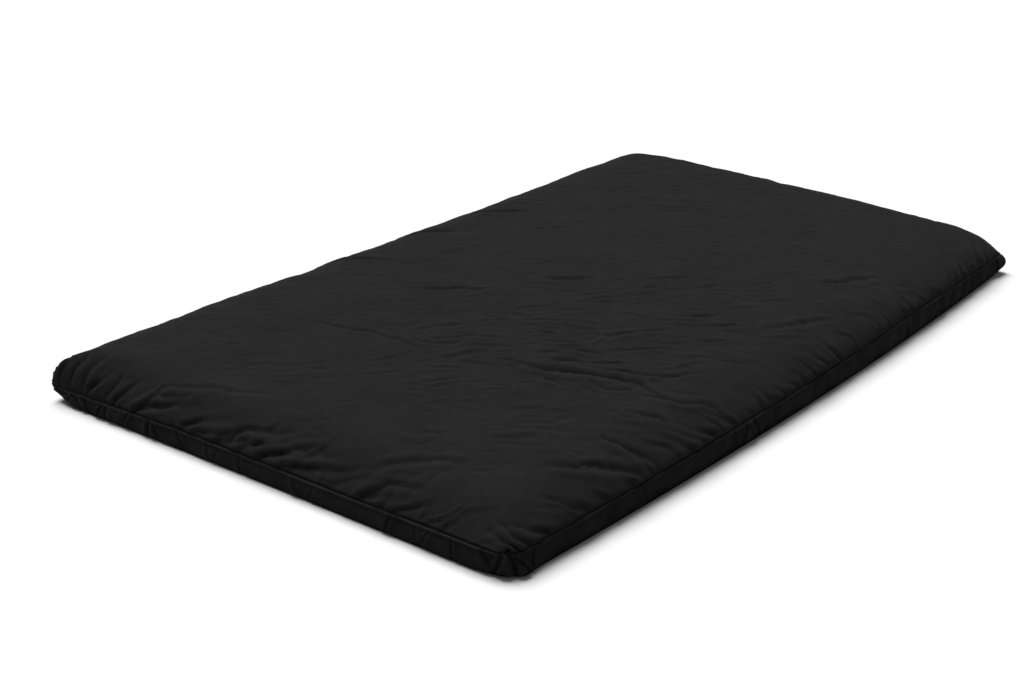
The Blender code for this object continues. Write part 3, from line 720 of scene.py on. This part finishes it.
def outward(points, corners=(1, 1)):
    """Unit directions out of the mattress along a line round it, and the distances along the line. The
    directions turn half way round at its start and its end where corners says that a corner is there."""
    along = np.gradient(points[:, :2], axis=0)
    along /= np.linalg.norm(along, axis=1, keepdims=True)
    out = np.stack([along[:, 1], -along[:, 0]], axis=-1)
    run = run_along(points)
    start, end = (np.exp(-distance / CORNER_TURN)[:, None] for distance in (run, run[-1] - run))
    out = out - along * start * corners[0] + along * end * corners[1]
    return np.concatenate([out / np.linalg.norm(out, axis=1, keepdims=True), 0 * out[:, :1]], axis=1), run


def near_corner(px, py, across, along):
    """1 at a corner of the mattress, dying away from it."""
    corner_x, corner_y = outline((1 + across) / 2, along)
    return np.exp(-((px - corner_x) ** 2 + (py - corner_y) ** 2) / CORNER_REACH**2)


def corner_lift(px, py):
    """How far the bottom seam is drawn up off the floor near the corners."""
    return sum(lift * near_corner(px, py, *corner) for corner, lift in CORNER_LIFTS.items())


def hem_turn(x, y):
    """How far the bottom has turned up towards its seam: 1 at the edge, 0 where it lies flat."""
    edge = np.minimum(np.minimum(x, 1 - x) * WIDTH, (1 - abs(y)) * LENGTH / 2)
    return np.clip(1 - edge / HEM_WIDTH, 0, 1) ** 2


def corner_swing(px, py, up):
    """How far the border stands off across and along near the corners. Up is 0 at its foot, 1 at its top."""
    swing = 0
    for corner, (foot, middle) in CORNER_SWINGS.items():
        bulge = np.multiply.outer(np.sin(math.pi * up) ** 0.7, middle)
        bulge = bulge + np.multiply.outer((1 - up) ** 2, foot)
        swing = swing + near_corner(px, py, *corner)[..., None] * bulge
    return swing


def pleats(side, run, up):
    """How far a border's pleats stand out or in, and how far they draw its lower edge up. Each is a sharp
    valley between two ridges, and leans."""
    source = np.random.default_rng(40 + len(side))
    length = run[-1, 0]
    places = source.uniform(0.04, length - 0.03, int(SMALL_PLEATS * length))
    small = [(place, source.uniform(*SMALL_PLEAT_DEPTHS)) for place in places]
    out = LUMPS[side] * smooth_noise(run, up * BORDER_HEIGHT, LUMP_CELL, 31)
    out = out + FINE_LUMPS * smooth_noise(run, up * BORDER_HEIGHT, FINE_LUMP_CELL, 32)
    between_seams = np.sin(math.pi * np.clip(up, 0, 1)) ** 0.5
    out = out * between_seams
    drawn_up = 0
    for place, depth in (*PLEATS[side], *small):
        width = source.uniform(*PLEAT_WIDTHS)
        lean = source.uniform(-PLEAT_LEAN, PLEAT_LEAN) * BORDER_HEIGHT
        from_top = source.uniform(0.2, 1.0)
        off = (run - place - source.uniform(-0.004, 0.004) - lean * (up - 0.5)) / width
        taper = between_seams * (from_top + (1 - from_top) * (1 - up))
        tilt = source.uniform(-0.3, 0.3)
        ridges = (0.6 + tilt) * np.exp(-((off - 1.3) ** 2)) + (0.6 - tilt) * np.exp(-((off + 1.3) ** 2))
        out = out + PLEAT_DEPTH * depth * taper * (ridges - np.exp(-(abs(off) ** 1.4) * 1.3))
        drawn_up = drawn_up + PLEAT_DEPTH * depth * np.exp(-(off**2) / 5) * (1 - up) ** 2
    return out, np.minimum(drawn_up, MOST_DRAWN_UP)


def onto_zip(points, seam):
    """How far the left side's cloth stands out to the zip's face, where the seam above it is drawn in."""
    z, top = points[..., 2], seam[:, None, 2] - GROOVE
    share = np.minimum(np.clip((top - z) / (top - ZIP_HIGH.z), 0, 1), np.clip(z / ZIP_LOW.z, 0, 1))
    from_head = np.clip((outline(0, 1)[1] - seam[:, 1]) / ZIP_FADE, 0, 1)
    behind = np.maximum(seam[:, 0] - LEFT_X, 0) * from_head**2 * (3 - 2 * from_head)
    return behind[:, None] * share


def border_grid(side, shares, low, high, swell, corners):
    """Points of an upright strip of cloth, their flat coordinates, and the directions out along it. Low and
    high give its edges' heights from the seam line, and swell how far it rounds out along it."""
    seam = seam_line(side, shares)
    out, run = outward(seam, corners)
    up = (1 - np.cos(math.pi * np.linspace(0, 1, BORDER_STEPS))) / 2
    points = np.repeat(seam[:, None, :], len(up), axis=1)
    bottom, top = low(seam), high(seam)
    points[..., 2] = bottom[:, None] + (top - bottom)[:, None] * up
    wide_run, wide_up = np.broadcast_arrays(run[:, None], up)
    pleated, drawn_up = pleats(side, wide_run, wide_up)
    pleated = pleated * (LEFT_PLEATING if side == "left" else 1)
    from_end = np.minimum(run, run[-1] - run)
    calm = 1 - np.exp(-((from_end[:, None] / END_REACH) ** 2))
    pleated, drawn_up = pleated * calm, drawn_up * calm
    profile = np.maximum(np.sin(math.pi * wide_up**0.85) ** 0.6, FOOT_FULLNESS * (1 - wide_up) ** 3)
    meets = sum(c * np.exp(-((off / END_REACH) ** 2)) for c, off in zip(corners, (run, run[-1] - run)))
    bow = (swell(run) * (1 - meets))[:, None] * profile + pleated
    roll = EDGE_ROLL * (1 - np.exp(-from_end / ROLL_FADE))
    if side == "left":  # not at the edge folded over the zip's tape, and less where the facing is narrow
        roll = roll * (top > ZIP_LOW.z) * np.clip((top - bottom - NO_ROLL) / (FULL_ROLL - NO_ROLL), 0, 1)
    from_roll = top[:, None] - points[..., 2] - ROLL_BELOW
    bow = bow + roll[:, None] * np.exp(-(from_roll**2 / ROLL_WIDTH**2))
    if side == "right":
        bow = bow - RIGHT_TUCK * (1 - wide_up) * np.clip(from_end / RIGHT_TUCK_FADE, 0, 1)[:, None]
    points += out[:, None, :] * bow[..., None]
    if side == "left":
        points[..., 0] -= onto_zip(points, seam)
    points[..., 2] += drawn_up
    points[..., :2] += corner_swing(*np.broadcast_arrays(seam[:, :1], seam[:, 1:2]), up)
    flat = np.stack([wide_run, wide_up * float(np.mean(top - bottom))], axis=-1)
    return points, flat, out


def odd(places):
    """The places, with one more spread in where their count is even."""
    count = len(places)
    if count % 2:
        return places
    return np.interp(np.linspace(0, 1, count + 1), np.linspace(0, 1, count), places)


def floor_edge(seam):
    """A border's lower edge, at the bottom seam."""
    return BOTTOM_SEAM_Z + corner_lift(seam[:, 0], seam[:, 1])


def seam_edge(seam):
    """A border's upper edge, below the top seam."""
    return seam[:, 2] - GROOVE


def build_strip(name, node, material, side, shares, edges, swell, tucks=(TUCK, TUCK), corners=(1, 1)):
    """A border strip, turned in at its lower and upper edges."""
    points, flat, out = border_grid(side, odd(shares), *edges, swell, corners)
    low, high = points[:, :1] - tucks[0] * out[:, None, :], points[:, -1:] - tucks[1] * out[:, None, :]
    points = np.concatenate([low, points, high], axis=1)
    flat = np.concatenate([flat[:, :1], flat, flat[:, -1:]], axis=1)
    strip = cloth_shell(name, points, flat, material, step=2)
    finish_sheet(strip, node)


def build_border(side, cloth):
    """The border strip of the foot end, the right side or the head end."""
    shares = even_places(lambda t: seam_line(side, t), BORDER_CELL)[0]

    def swell(run):
        from_end = np.minimum(run, run[-1] - run)
        ridge = RIDGE * np.exp(-(((from_end - RIDGE_FROM_END) / RIDGE_WIDTH) ** 2))
        return BULGE * (1 - (1 - END_BULGE) * np.exp(-from_end / BULGE_FADE)) + ridge

    edges = (floor_edge, seam_edge)
    build_strip(side + "_border_cloth", "cover_border_" + side, cloth, side, shares, edges, swell)


def build_left_border(cloth):
    """Two facings, above and below the zip, and a plain piece at each end."""
    zip_low, zip_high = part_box("zip_tape_upper")
    shares = even_places(lambda t: seam_line("left", t), BORDER_CELL)[0]
    y = seam_line("left", shares)[:, 1]
    ends = np.interp([-zip_high.y, -zip_low.y], -y, shares)
    lap = ZIP_END_LAP / LENGTH
    head = np.append(shares[shares < ends[0] - lap], ends[0] + [0, lap])
    between = shares[(shares > ends[0] + lap) & (shares < ends[1] - lap)]
    between = np.concatenate([ends[:1], between, ends[1:]])
    foot = np.insert(shares[shares > ends[1] + lap], 0, ends[1] - [lap, 0])

    def over_zip(seam):
        return np.full(len(seam), ZIP_HIGH.z)

    def under_zip(seam):
        return np.full(len(seam), ZIP_LOW.z)

    def bowed(which):
        """Rounded out evenly, and stepped in where an end piece passes behind the facings."""

        def swell(run):
            step = {"head": run[-1] - run, "foot": run}.get(which)
            lapped = 0 if step is None else LAP_STEP * np.exp(-((step / ZIP_END_LAP) ** 4))
            return LEFT_BOWS[which] + 0 * run - lapped

        return swell

    pieces = (
        ("upper", "facing", "left_facing_upper", between, (over_zip, seam_edge), (FOLDED, TUCK), (0, 0)),
        ("lower", "facing", "left_facing_lower", between, (floor_edge, under_zip), (TUCK, FOLDED), (0, 0)),
        ("head", "piece", "border_left_head_piece", head, (floor_edge, seam_edge), (TUCK, TUCK), (1, 0)),
        ("foot", "piece", "border_left_foot_piece", foot, (floor_edge, seam_edge), (TUCK, TUCK), (0, 1)),
    )
    for which, kind, node, places, edges, tucks, corners in pieces:
        name = f"left_{which}_{kind}_cloth"
        build_strip(name, "cover_" + node, cloth, "left", places, edges, bowed(which), tucks, corners)


def build_bottom_panel(cloth):
    """Flat on the floor, and turned up to its seam at the edge."""
    gx, gy, _ = panel_places(lambda x, y: np.stack(outline(x, y), axis=-1), BOTTOM_CELL)
    px, py = outline(gx, gy)
    turn = hem_turn(gx, gy)
    pz = FLOOR_GAP + turn * (BOTTOM_SEAM_Z - HEM_GAP + corner_lift(px, py))
    swing = corner_swing(px, py, 0.0) * turn[..., None]
    points = np.stack([px + swing[..., 0], py + swing[..., 1], pz], axis=-1).swapaxes(0, 1)
    flat = points[..., :2] - points[..., :2].min(axis=(0, 1))
    points, flat = with_tucks(points, flat, ((TUCK / 2, 0.0), (TUCK / 2, 0.0)))
    bottom = cloth_shell("bottom_panel_cloth", points, flat, cloth)
    finish_sheet(bottom, "cover_bottom_panel")


# ---------------------------------------------------------------- the zip


def blocks(name, centres, size, material, slant=0.0):
    """Small blocks of one size in one piece, each leaning along Y by slant from its bottom to its top."""
    corners = np.array([(x, y, z) for x in (-1, 1) for y in (-1, 1) for z in (-1, 1)]) / 2 * size
    corners[:, 1] += slant * np.sign(corners[:, 2]) / 2
    faces = np.array([(0, 1, 3, 2), (4, 6, 7, 5), (0, 4, 5, 1), (2, 3, 7, 6), (0, 2, 6, 4), (1, 5, 7, 3)])
    points = (centres[:, None, :] + corners).reshape(-1, 3)
    every = (faces + 8 * np.arange(len(centres))[:, None, None]).reshape(-1, 4)
    mesh = mesh_of(name, points, [every])
    mesh.shade_flat()
    return link(name, mesh, material)


def build_coils(nylon):
    """The teeth of each coil: close loops sewn along the edge of the tape."""
    for node, shift, slant in (("zip_coil_upper", 0.0, COIL_SLANT), ("zip_coil_lower", 0.5, -COIL_SLANT)):
        low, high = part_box(node)
        count = int((high.y - low.y) / COIL_PITCH) - 1
        y = low.y + COIL_PITCH * (np.arange(count) + 0.75 + shift)
        middle = (low + high) / 2
        centres = np.stack([np.full(count, middle.x), y, np.full(count, middle.z)], axis=-1)
        deep, tall = high.x - low.x - TEETH_GAPS[0], high.z - low.z - TEETH_GAPS[1]
        size = np.array([deep, COIL_PITCH * TOOTH_SHARE, tall])
        stand_for(blocks(node + "_teeth", centres, size, nylon, slant), node)


def build_topstitching(thread):
    """A row of stitches along each facing's folded edge."""
    low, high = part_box("zip_tape_upper")
    y = np.arange(low.y + STITCH_ENDS, high.y - STITCH_ENDS, STITCH_PITCH)
    rows = []
    for z in (ZIP_HIGH.z + STITCH_MARGIN, ZIP_LOW.z - STITCH_MARGIN):
        rows.append(np.stack([np.full(len(y), LEFT_X - STITCH_PROUD), y, np.full(len(y), z)], axis=-1))
    size = np.array([STITCH_DEEP, STITCH_PITCH * STITCH_SHARE, STITCH_HIGH])
    stitches = blocks("zip_topstitching", np.concatenate(rows), size, thread)
    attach(stitches, "mattress")


# ---------------------------------------------------------------- the tufted inside


def tuft_places():
    """The tufts' names, and where each stands."""
    for name in sorted(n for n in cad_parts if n.startswith("tuft_")):
        low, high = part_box(name)
        yield name, (low.x + high.x) / 2, (low.y + high.y) / 2


def dimples(px, py):
    """How far the tufts pull the casing down, over an array of places."""
    depth = 0
    for _, x, y in tuft_places():
        depth = depth + TUFT_PULL * np.exp(-((px - x) ** 2 + (py - y) ** 2) / TUFT_SPREAD**2)
    return depth


def casing_point(x, y, inset):
    """The casing's top surface, inside the cover."""
    px, py, pz = np.moveaxis(top_point(x, y), -1, 0)
    inset = inset + CASING_CORNER_INSET * sum(near_corner(px, py, *corner) for corner in CORNER_LIFTS)
    px, py = px + inset * (1 - 2 * x), py - inset * y
    off_x, off_y = (x - PATCH[0]) / PATCH_REACH[0], (y - PATCH[1]) / PATCH_REACH[1]
    dent = PATCH_DENT * np.exp(-(off_x**2) - off_y**2)
    pz = pz - CASING_DROP - CASING_EASE * rise(x, y) - dimples(px, py) - dent
    return np.stack([px, py, pz], axis=-1)


def casing_grid(cell, inset):
    """Points of the casing's top, its flat coordinates, and how far its bottom is drawn up below them."""
    gx, gy, flat = panel_places(top_point, cell)
    points = casing_point(gx, gy, inset)
    inset_x, inset_y = gx + inset / WIDTH * (1 - 2 * gx), gy * (1 - 2 * inset / LENGTH)
    lift = hem_turn(inset_x, inset_y) * corner_lift(points[..., 0], points[..., 1])
    return points, flat, lift


def solid_between(name, upper, lower, flat, material):
    """A closed piece between two grids of points, with its sides rounded out a little."""
    rows, columns = upper.shape[:2]
    middle = (upper + lower) / 2
    centre = middle.mean(axis=(0, 1))
    rim = rim_of(numbered(rows, columns))
    waist = middle.reshape(-1, 3)[rim]
    out = waist - centre
    out[:, 2] = 0
    thick = (upper - lower).reshape(-1, 3)[rim][:, 2:]
    waist = waist + out / np.linalg.norm(out, axis=1, keepdims=True) * thick * SIDE_ROUNDING
    points = np.concatenate([upper.reshape(-1, 3), lower.reshape(-1, 3), waist])
    girth = 2 * rows * columns + np.arange(len(rim))
    rings = ((rim, girth), (girth, rim + rows * columns))
    sides = [np.stack([np.roll(a, -1), a, b, np.roll(b, -1)], axis=-1) for a, b in rings]
    faces = [quads(rows, columns), quads(rows, columns, rows * columns)[:, ::-1], *sides]
    flats = flat.reshape(-1, 2)
    mesh = mesh_of(name, points, faces, np.concatenate([flats, flats, flats[rim]]))
    mesh.set_sharp_from_angle(angle=math.radians(50))
    return link(name, mesh, material)


def build_filling(batt, foam):
    """Cotton batts over and under a foam core, pressed thin at the border and tufted together."""
    upper, flat, lift = casing_grid(FILLING_CELL, CASING_INSET + CASING_FABRIC)
    upper[..., 2] -= CASING_FABRIC + FILLING_GAP
    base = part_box("cotton_batt_1")[0].z + lift
    names = [f"cotton_batt_{n}" for n in (1, 2, 3)] + ["foam_core"] + [f"cotton_batt_{n}" for n in (4, 5, 6)]
    thick = np.array([CORE_SHARE if n == "foam_core" else 1 for n in names], float)
    levels = np.concatenate([[0], np.cumsum(thick)]) / thick.sum()
    for name, low, high in zip(names, levels, levels[1:]):
        faces = []
        for level, part in ((high, -LAYER_GAP), (low, LAYER_GAP)):
            face = upper.copy()
            face[..., 2] = base + (upper[..., 2] - base) * level + part
            faces.append(face)
        material, slot, fill = (foam, "foam", 0.9) if name == "foam_core" else (batt, "cotton_batt", 0.6)
        piece = solid_between(name + "_soft", *faces, flat, material)
        stand_for(piece, name)


def build_casing(calico):
    """A bag of calico round the filling: its top, its bottom and four upright strips."""
    points, flat, lift = casing_grid(CASING_CELL, CASING_INSET)
    top = cloth_shell("casing_top_cloth", points, flat, calico, CASING_FABRIC)
    finish_sheet(top, "casing_top")
    lower = points.copy()
    lower[..., 2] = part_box("casing_bottom")[0].z + lift
    lower, lower_flat = lower.swapaxes(0, 1), flat.swapaxes(0, 1)
    bottom = cloth_shell("casing_bottom_cloth", lower, lower_flat, calico, CASING_FABRIC)
    size = (np.ptp(points[..., 0]), np.ptp(points[..., 1]))
    finish_sheet(bottom, "casing_bottom")
    bottom_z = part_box("cotton_batt_1")[0].z + lift
    edges = {
        "foot": (points[:, 0], bottom_z[:, 0]),
        "right": (points[-1], bottom_z[-1]),
        "head": (points[::-1, -1], bottom_z[::-1, -1]),
        "left": (points[0, ::-1], bottom_z[0, ::-1]),
    }
    for side, (edge, low) in edges.items():
        up = np.linspace(0, 1, 5)
        strip = np.repeat(edge[:, None, :], len(up), axis=1)
        strip[..., 2] = low[:, None] + (edge[:, None, 2] - FILLING_GAP - low[:, None]) * up
        run = run_along(edge)
        size = (run[-1], np.ptp(strip[len(edge) // 2, :, 2]))
        spread = np.stack(np.broadcast_arrays(run[:, None], up * size[1]), axis=-1)
        border = cloth_shell(f"casing_border_{side}_cloth", strip, spread, calico, CASING_FABRIC)
        finish_sheet(border, "casing_border_" + side)


def washer(bm, z, up):
    """A felt disc with a rounded edge, seen from below where up is -1."""
    made = bmesh.ops.create_cone(
        bm, cap_ends=True, segments=20, radius1=WASHER_RADIUS, radius2=WASHER_RADIUS, depth=WASHER_THICKNESS
    )
    bmesh.ops.translate(bm, verts=made["verts"], vec=(0, 0, z + up * WASHER_THICKNESS / 2))
    edges = dict.fromkeys(e for v in made["verts"] for e in v.link_edges)
    edges = [e for e in edges if len(e.link_faces) == 2 and e.calc_face_angle() > 1]
    bmesh.ops.bevel(bm, geom=edges, offset=WASHER_EDGE, segments=2, affect="EDGES")


def twine(bm, low, high, phase):
    """One strand of the tie, wound about its fellow from washer to washer."""
    turns, sides, radius = (high - low) / TWINE_TURN, 6, TWINE_RADIUS * 0.5

    def on_circle(angle):
        return radius * Vector((math.cos(angle), math.sin(angle), 0))

    rings = []
    for step in range(int(8 * turns) + 1):
        z = low + (high - low) * step / int(8 * turns)
        centre = on_circle(phase + 2 * math.pi * turns * (z - low) / (high - low)) + Vector((0, 0, z))
        rings.append([bm.verts.new(centre + on_circle(2 * math.pi * side / sides)) for side in range(sides)])
    for one, two in zip(rings, rings[1:]):
        for side in range(sides):
            after = (side + 1) % sides
            bm.faces.new((one[side], one[after], two[after], two[side]))
    bm.faces.new(reversed(rings[0]))
    bm.faces.new(rings[-1])


def build_tufts(felt, cord):
    """Ties of twine through the filling, each with a felt washer at both ends."""
    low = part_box("casing_bottom")[0].z - WASHER_GAP
    for name, x, y in tuft_places():
        across = (x - LEFT_X) / (WIDTH + RIGHT_BOW)
        along = 2 * (y - FOOT_Y) / LENGTH - 1
        for _ in range(4):  # closes in on the casing's place over x and y
            px, py, pz = casing_point(np.array(across), np.array(along), CASING_INSET)
            across += (x - px) / WIDTH
            along += 2 * (y - py) / LENGTH
        high = float(pz) + WASHER_GAP
        bm = bmesh.new()
        for phase in (0, math.pi):
            twine(bm, low - TWINE_RADIUS, high + TWINE_RADIUS, phase)
        strands = len(bm.faces)
        washer(bm, high, 1)
        washer(bm, low, -1)
        bm.faces.ensure_lookup_table()
        for face in bm.faces[strands:]:
            face.material_index = 1
        for face in bm.faces:
            face.smooth = True
        mesh = bpy.data.meshes.new(name + "_tie")
        bm.to_mesh(mesh)
        bm.free()
        mesh.set_sharp_from_angle(angle=math.radians(50))
        tie = link(name + "_tie", mesh, cord)
        mesh.materials.append(felt)
        tie.location = (x, y, 0)
        stand_for(tie, name)


# ---------------------------------------------------------------- materials


class Shading:
    """A material under construction: its node tree, with short ways to add nodes to it."""

    def __init__(self, name, roughness=0.9, **fixed):
        self.material = bpy.data.materials.new(name)
        self.material.use_nodes = True
        self.tree = self.material.node_tree
        self.shader = self.tree.nodes["Principled BSDF"]
        self.set(self.shader, {"Roughness": roughness, **fixed})

    def set(self, node, inputs):
        for name, value in inputs.items():
            socket = node.inputs[name]
            if isinstance(value, bpy.types.NodeSocket):
                self.tree.links.new(value, socket)
            else:
                socket.default_value = value

    def add(self, kind, inputs=None, output=0, **properties):
        node = self.tree.nodes.new("ShaderNode" + kind)
        for name, value in properties.items():
            setattr(node, name, value)
        self.set(node, inputs or {})
        return node.outputs[output]

    def cloth_place(self):
        """The cloth's flat coordinates, in metres."""
        return self.add("UVMap", uv_map="cloth")

    def object_place(self):
        return self.add("TexCoord", output="Object")

    def pointiness(self):
        """Above a half on crests and edges, and below it in hollows."""
        return self.add("NewGeometry", output="Pointiness")

    def noise(self, place, scale, detail=3.0, roughness=0.6):
        inputs = {"Vector": place, "Scale": scale, "Detail": detail, "Roughness": roughness}
        return self.add("TexNoise", inputs)

    def math(self, operation, a, b=0.0):
        return self.add("Math", {0: a, 1: b}, operation=operation)

    def spread(self, value, low, high, to_low=0.0, to_high=1.0):
        """The value's range from low to high, stretched to another."""
        inputs = {"Value": value, "From Min": low, "From Max": high, "To Min": to_low, "To Max": to_high}
        return self.add("MapRange", inputs, clamp=True)

    def blend(self, share, one, two):
        """A colour between two, each given as numbers or as another node's output."""
        node = self.tree.nodes.new("ShaderNodeMix")
        node.data_type = "RGBA"
        one, two = (c if isinstance(c, bpy.types.NodeSocket) else (*c, 1) for c in (one, two))
        self.set(node, {0: share, 6: one, 7: two})
        return node.outputs[2]

    def weave(self, place, pitch):
        """Height of a plain weave: threads a pitch apart that go over and under each other."""
        ways = self.add("SeparateXYZ", {0: place}).node.outputs[:2]
        waves = [self.math("SINE", self.math("MULTIPLY", way, math.pi / pitch)) for way in ways]
        ribs = [self.math("MULTIPLY", wave, wave) for wave in waves]
        under = self.spread(self.math("MULTIPLY", *waves), -0.25, 0.25)
        over = self.math("SUBTRACT", 1.0, under)
        return self.math("ADD", self.math("MULTIPLY", ribs[0], under), self.math("MULTIPLY", ribs[1], over))

    def bump(self, *heights):
        """Bumps from heights, each with its distance in metres, one over the other."""
        normal = None
        for height, distance in heights:
            inputs = {"Height": height, "Distance": distance, "Strength": 1.0}
            if normal:
                inputs["Normal"] = normal
            normal = self.add("Bump", inputs)
        self.set(self.shader, {"Normal": normal})


def black_cloth():
    """Matte black cotton: a plain weave that has faded unevenly, with a painted highlight on the crests of
    folds and painted shade in their hollows, and a trace of lint."""
    sheen = {"Sheen Weight": 0.006, "Sheen Roughness": 0.45}
    made = Shading("black_cloth", **{"Specular IOR Level": 0.04}, **sheen)
    flat, place = made.cloth_place(), made.object_place()
    broad = made.noise(place, 9.0, 4.0)
    fine = made.noise(place, 240.0, 4.0, 0.7)
    grain = made.noise(place, 560.0, 3.0, 0.7)
    faded = made.math("ADD", made.math("MULTIPLY", broad, 0.2), made.math("MULTIPLY", fine, 0.4))
    faded = made.math("ADD", faded, made.math("MULTIPLY", grain, 0.4))
    colour = made.blend(made.spread(faded, 0.41, 0.59), *COTTON_BLACKS)
    lint = made.spread(made.noise(place, 900.0, 2.0), 0.72, 0.78)
    threads = made.weave(flat, COVER_THREADS)
    colour = made.blend(made.math("MULTIPLY", lint, 0.35), colour, LINT)
    # painted highlight on the crests of folds and painted shade in their hollows, by pointiness
    crests = made.spread(made.pointiness(), *PAINTED_CREST_LIGHT_HOLLOW_SHADE)
    # the weave's tone, darker where the threads dip, times that painted highlight and shade
    shade = made.math("MULTIPLY", made.spread(threads, 0.0, 1.0, 0.82, 1.08), crests)
    colour = made.add("VectorMath", {0: colour, 1: shade}, operation="MULTIPLY")
    made.set(made.shader, {"Base Color": colour, "Roughness": made.spread(fine, 0.3, 0.7, 0.80, 0.96)})
    made.bump((fine, 0.0016), (grain, 0.0009), (threads, 0.00014))
    return made.material


def herringbone():
    """Woven zip tape: slanting ribs that turn back every few threads."""
    pitch, turn = 0.0008, 0.0018
    made = Shading("zip_tape_weave", roughness=0.8, **{"Specular IOR Level": 0.25})
    _, along, up = made.add("SeparateXYZ", {0: made.object_place()}).node.outputs
    slanting = made.math("ADD", along, made.math("PINGPONG", up, turn))
    ribs = made.math("SINE", made.math("MULTIPLY", slanting, 2 * math.pi / pitch))
    made.set(made.shader, {"Base Color": made.blend(made.spread(ribs, -1.0, 1.0), *TAPE_BLACKS)})
    made.bump((ribs, 0.00008))
    return made.material


def coil_nylon():
    """Smooth nylon, a little uneven in its gloss."""
    made = Shading("coil_nylon", **{"Specular IOR Level": 0.4})
    mottle = made.noise(made.object_place(), 300.0)
    gloss = made.spread(mottle, 0.3, 0.7, 0.32, 0.5)
    made.set(made.shader, {"Base Color": made.blend(mottle, *COIL_BLACKS), "Roughness": gloss})
    return made.material


def zip_metal():
    """Black oxide over metal, rubbed through at the edges."""
    made = Shading("zip_metal_worn", Metallic=1.0)
    scratches = made.noise(made.object_place(), 700.0, 4.0)
    edges = made.spread(made.pointiness(), 0.54, 0.66)
    worn = made.math("MULTIPLY", edges, made.spread(scratches, 0.45, 0.65))
    gloss = made.spread(scratches, 0.3, 0.7, 0.36, 0.52)
    made.set(made.shader, {"Base Color": made.blend(worn, *OXIDE), "Roughness": gloss})
    made.bump((scratches, 0.00003))
    return made.material


def unbleached_calico():
    """Unbleached calico: a plain weave with specks of husk."""
    made = Shading("calico", **{"Specular IOR Level": 0.2})
    flat, place = made.cloth_place(), made.object_place()
    threads = made.weave(flat, CALICO_THREADS)
    mottle = made.noise(place, 30.0, 4.0)
    husks = made.spread(made.noise(place, 420.0, 1.0), 0.74, 0.77)
    made.set(made.shader, {"Base Color": made.blend(husks, made.blend(mottle, *CALICO), HUSK)})
    made.bump((mottle, 0.001), (threads, 0.00015))
    return made.material


def thready(name, colours, scale, detail, height, roughness, specular=0.4):
    """Twisted fibres, for thread and twine."""
    made = Shading(name, roughness, **{"Specular IOR Level": specular})
    strands = made.noise(made.object_place(), scale, detail)
    made.set(made.shader, {"Base Color": made.blend(strands, *colours)})
    made.bump((strands, height))
    return made.material


def matted(name, colours, scale, height):
    """Matted fibres, for cotton batts and wool felt."""
    made = Shading(name, roughness=0.95, **{"Specular IOR Level": 0.1})
    tangle = made.noise(made.object_place(), scale, 8.0, 0.75)
    made.set(made.shader, {"Base Color": made.blend(made.spread(tangle, 0.3, 0.7), *colours)})
    made.bump((tangle, height))
    return made.material


def open_foam():
    """Foam cut through its cells, with painted shade in their hollows."""
    made = Shading("open_foam", **{"Specular IOR Level": 0.2})
    cells = made.add("TexVoronoi", {"Vector": made.object_place(), "Scale": 700.0})
    # painted shade: the darker colour stands for shade in the cells' hollows
    made.set(made.shader, {"Base Color": made.blend(made.spread(cells, 0.0, 0.7), *FOAM)})
    made.bump((cells, 0.0004))
    return made.material


# ---------------------------------------------------------------- the stage


def add_camera():
    """Looks down the mattress from its right foot corner."""
    data = bpy.data.cameras.new("camera")
    data.lens = LENS
    data.sensor_width = 36
    camera = link("camera", data)
    camera.location = Vector(CAMERA_PLACE) + Vector((LEFT_X, FOOT_Y, 0))
    azimuth, pitch, roll = (math.radians(angle) for angle in (AZIMUTH, PITCH, ROLL))
    turn = Matrix.Rotation(azimuth, 3, "Z") @ Matrix.Rotation(math.pi / 2 - pitch, 3, "X")
    camera.rotation_euler = (turn @ Matrix.Rotation(roll, 3, "Z")).to_euler()
    bpy.context.scene.camera = camera


def add_floor():
    mesh = bpy.data.meshes.new("floor")
    corners = [(FLOOR_SIZE * x, FLOOR_SIZE * y, 0) for x, y in ((-1, -1), (1, -1), (1, 1), (-1, 1))]
    mesh.from_pydata(corners, [], [(0, 1, 2, 3)])
    made = Shading("floor", **{"Base Color": (*[FLOOR_GREY] * 3, 1), "Specular IOR Level": 0.0})
    link("floor", mesh, made.material)


def add_light():
    """An even soft light, as from a wide softbox a long way off, and a dim room round it."""
    data = bpy.data.lights.new("softbox", "SUN")
    data.angle = math.radians(SUN_WIDTH)
    data.energy = SUN_STRENGTH
    link("softbox", data).rotation_euler = Vector(SUN_FROM).to_track_quat("Z", "Y").to_euler()
    world = bpy.data.worlds.new("studio")
    world.use_nodes = True
    world.node_tree.nodes["Background"].inputs["Color"].default_value = (1, 1, 1, 1)
    world.node_tree.nodes["Background"].inputs["Strength"].default_value = WORLD_STRENGTH
    bpy.context.scene.world = world
    bpy.context.scene.view_settings.view_transform = "Standard"


# ---------------------------------------------------------------- the whole


def main():
    add_camera()
    add_floor()
    add_light()
    cloth = black_cloth()
    build_top_panel(cloth)
    for side in ("foot", "right", "head"):
        build_border(side, cloth)
    build_left_border(cloth)
    build_bottom_panel(cloth)
    nylon, metal = coil_nylon(), zip_metal()
    build_coils(nylon)
    build_topstitching(thready("black_thread", THREAD_BLACKS, 2500.0, 2.0, 0.0001, roughness=0.55))
    build_casing(unbleached_calico())
    build_filling(matted("cotton_felt", BATT, 60.0, 0.002), open_foam())
    waxed_twine = thready("waxed_twine", TWINE, 1500.0, 3.0, 0.0002, roughness=0.7)
    build_tufts(matted("wool_felt", FELT, 500.0, 0.0006), waxed_twine)
    finishes = {"zip_tape": herringbone(), "zip_stop": nylon, "zip_slider": metal, "zip_pull": metal}
    for name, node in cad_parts.items():
        for start, finish in finishes.items():
            if name.startswith(start):
                node.data.materials.clear()
                node.data.materials.append(finish)


main()
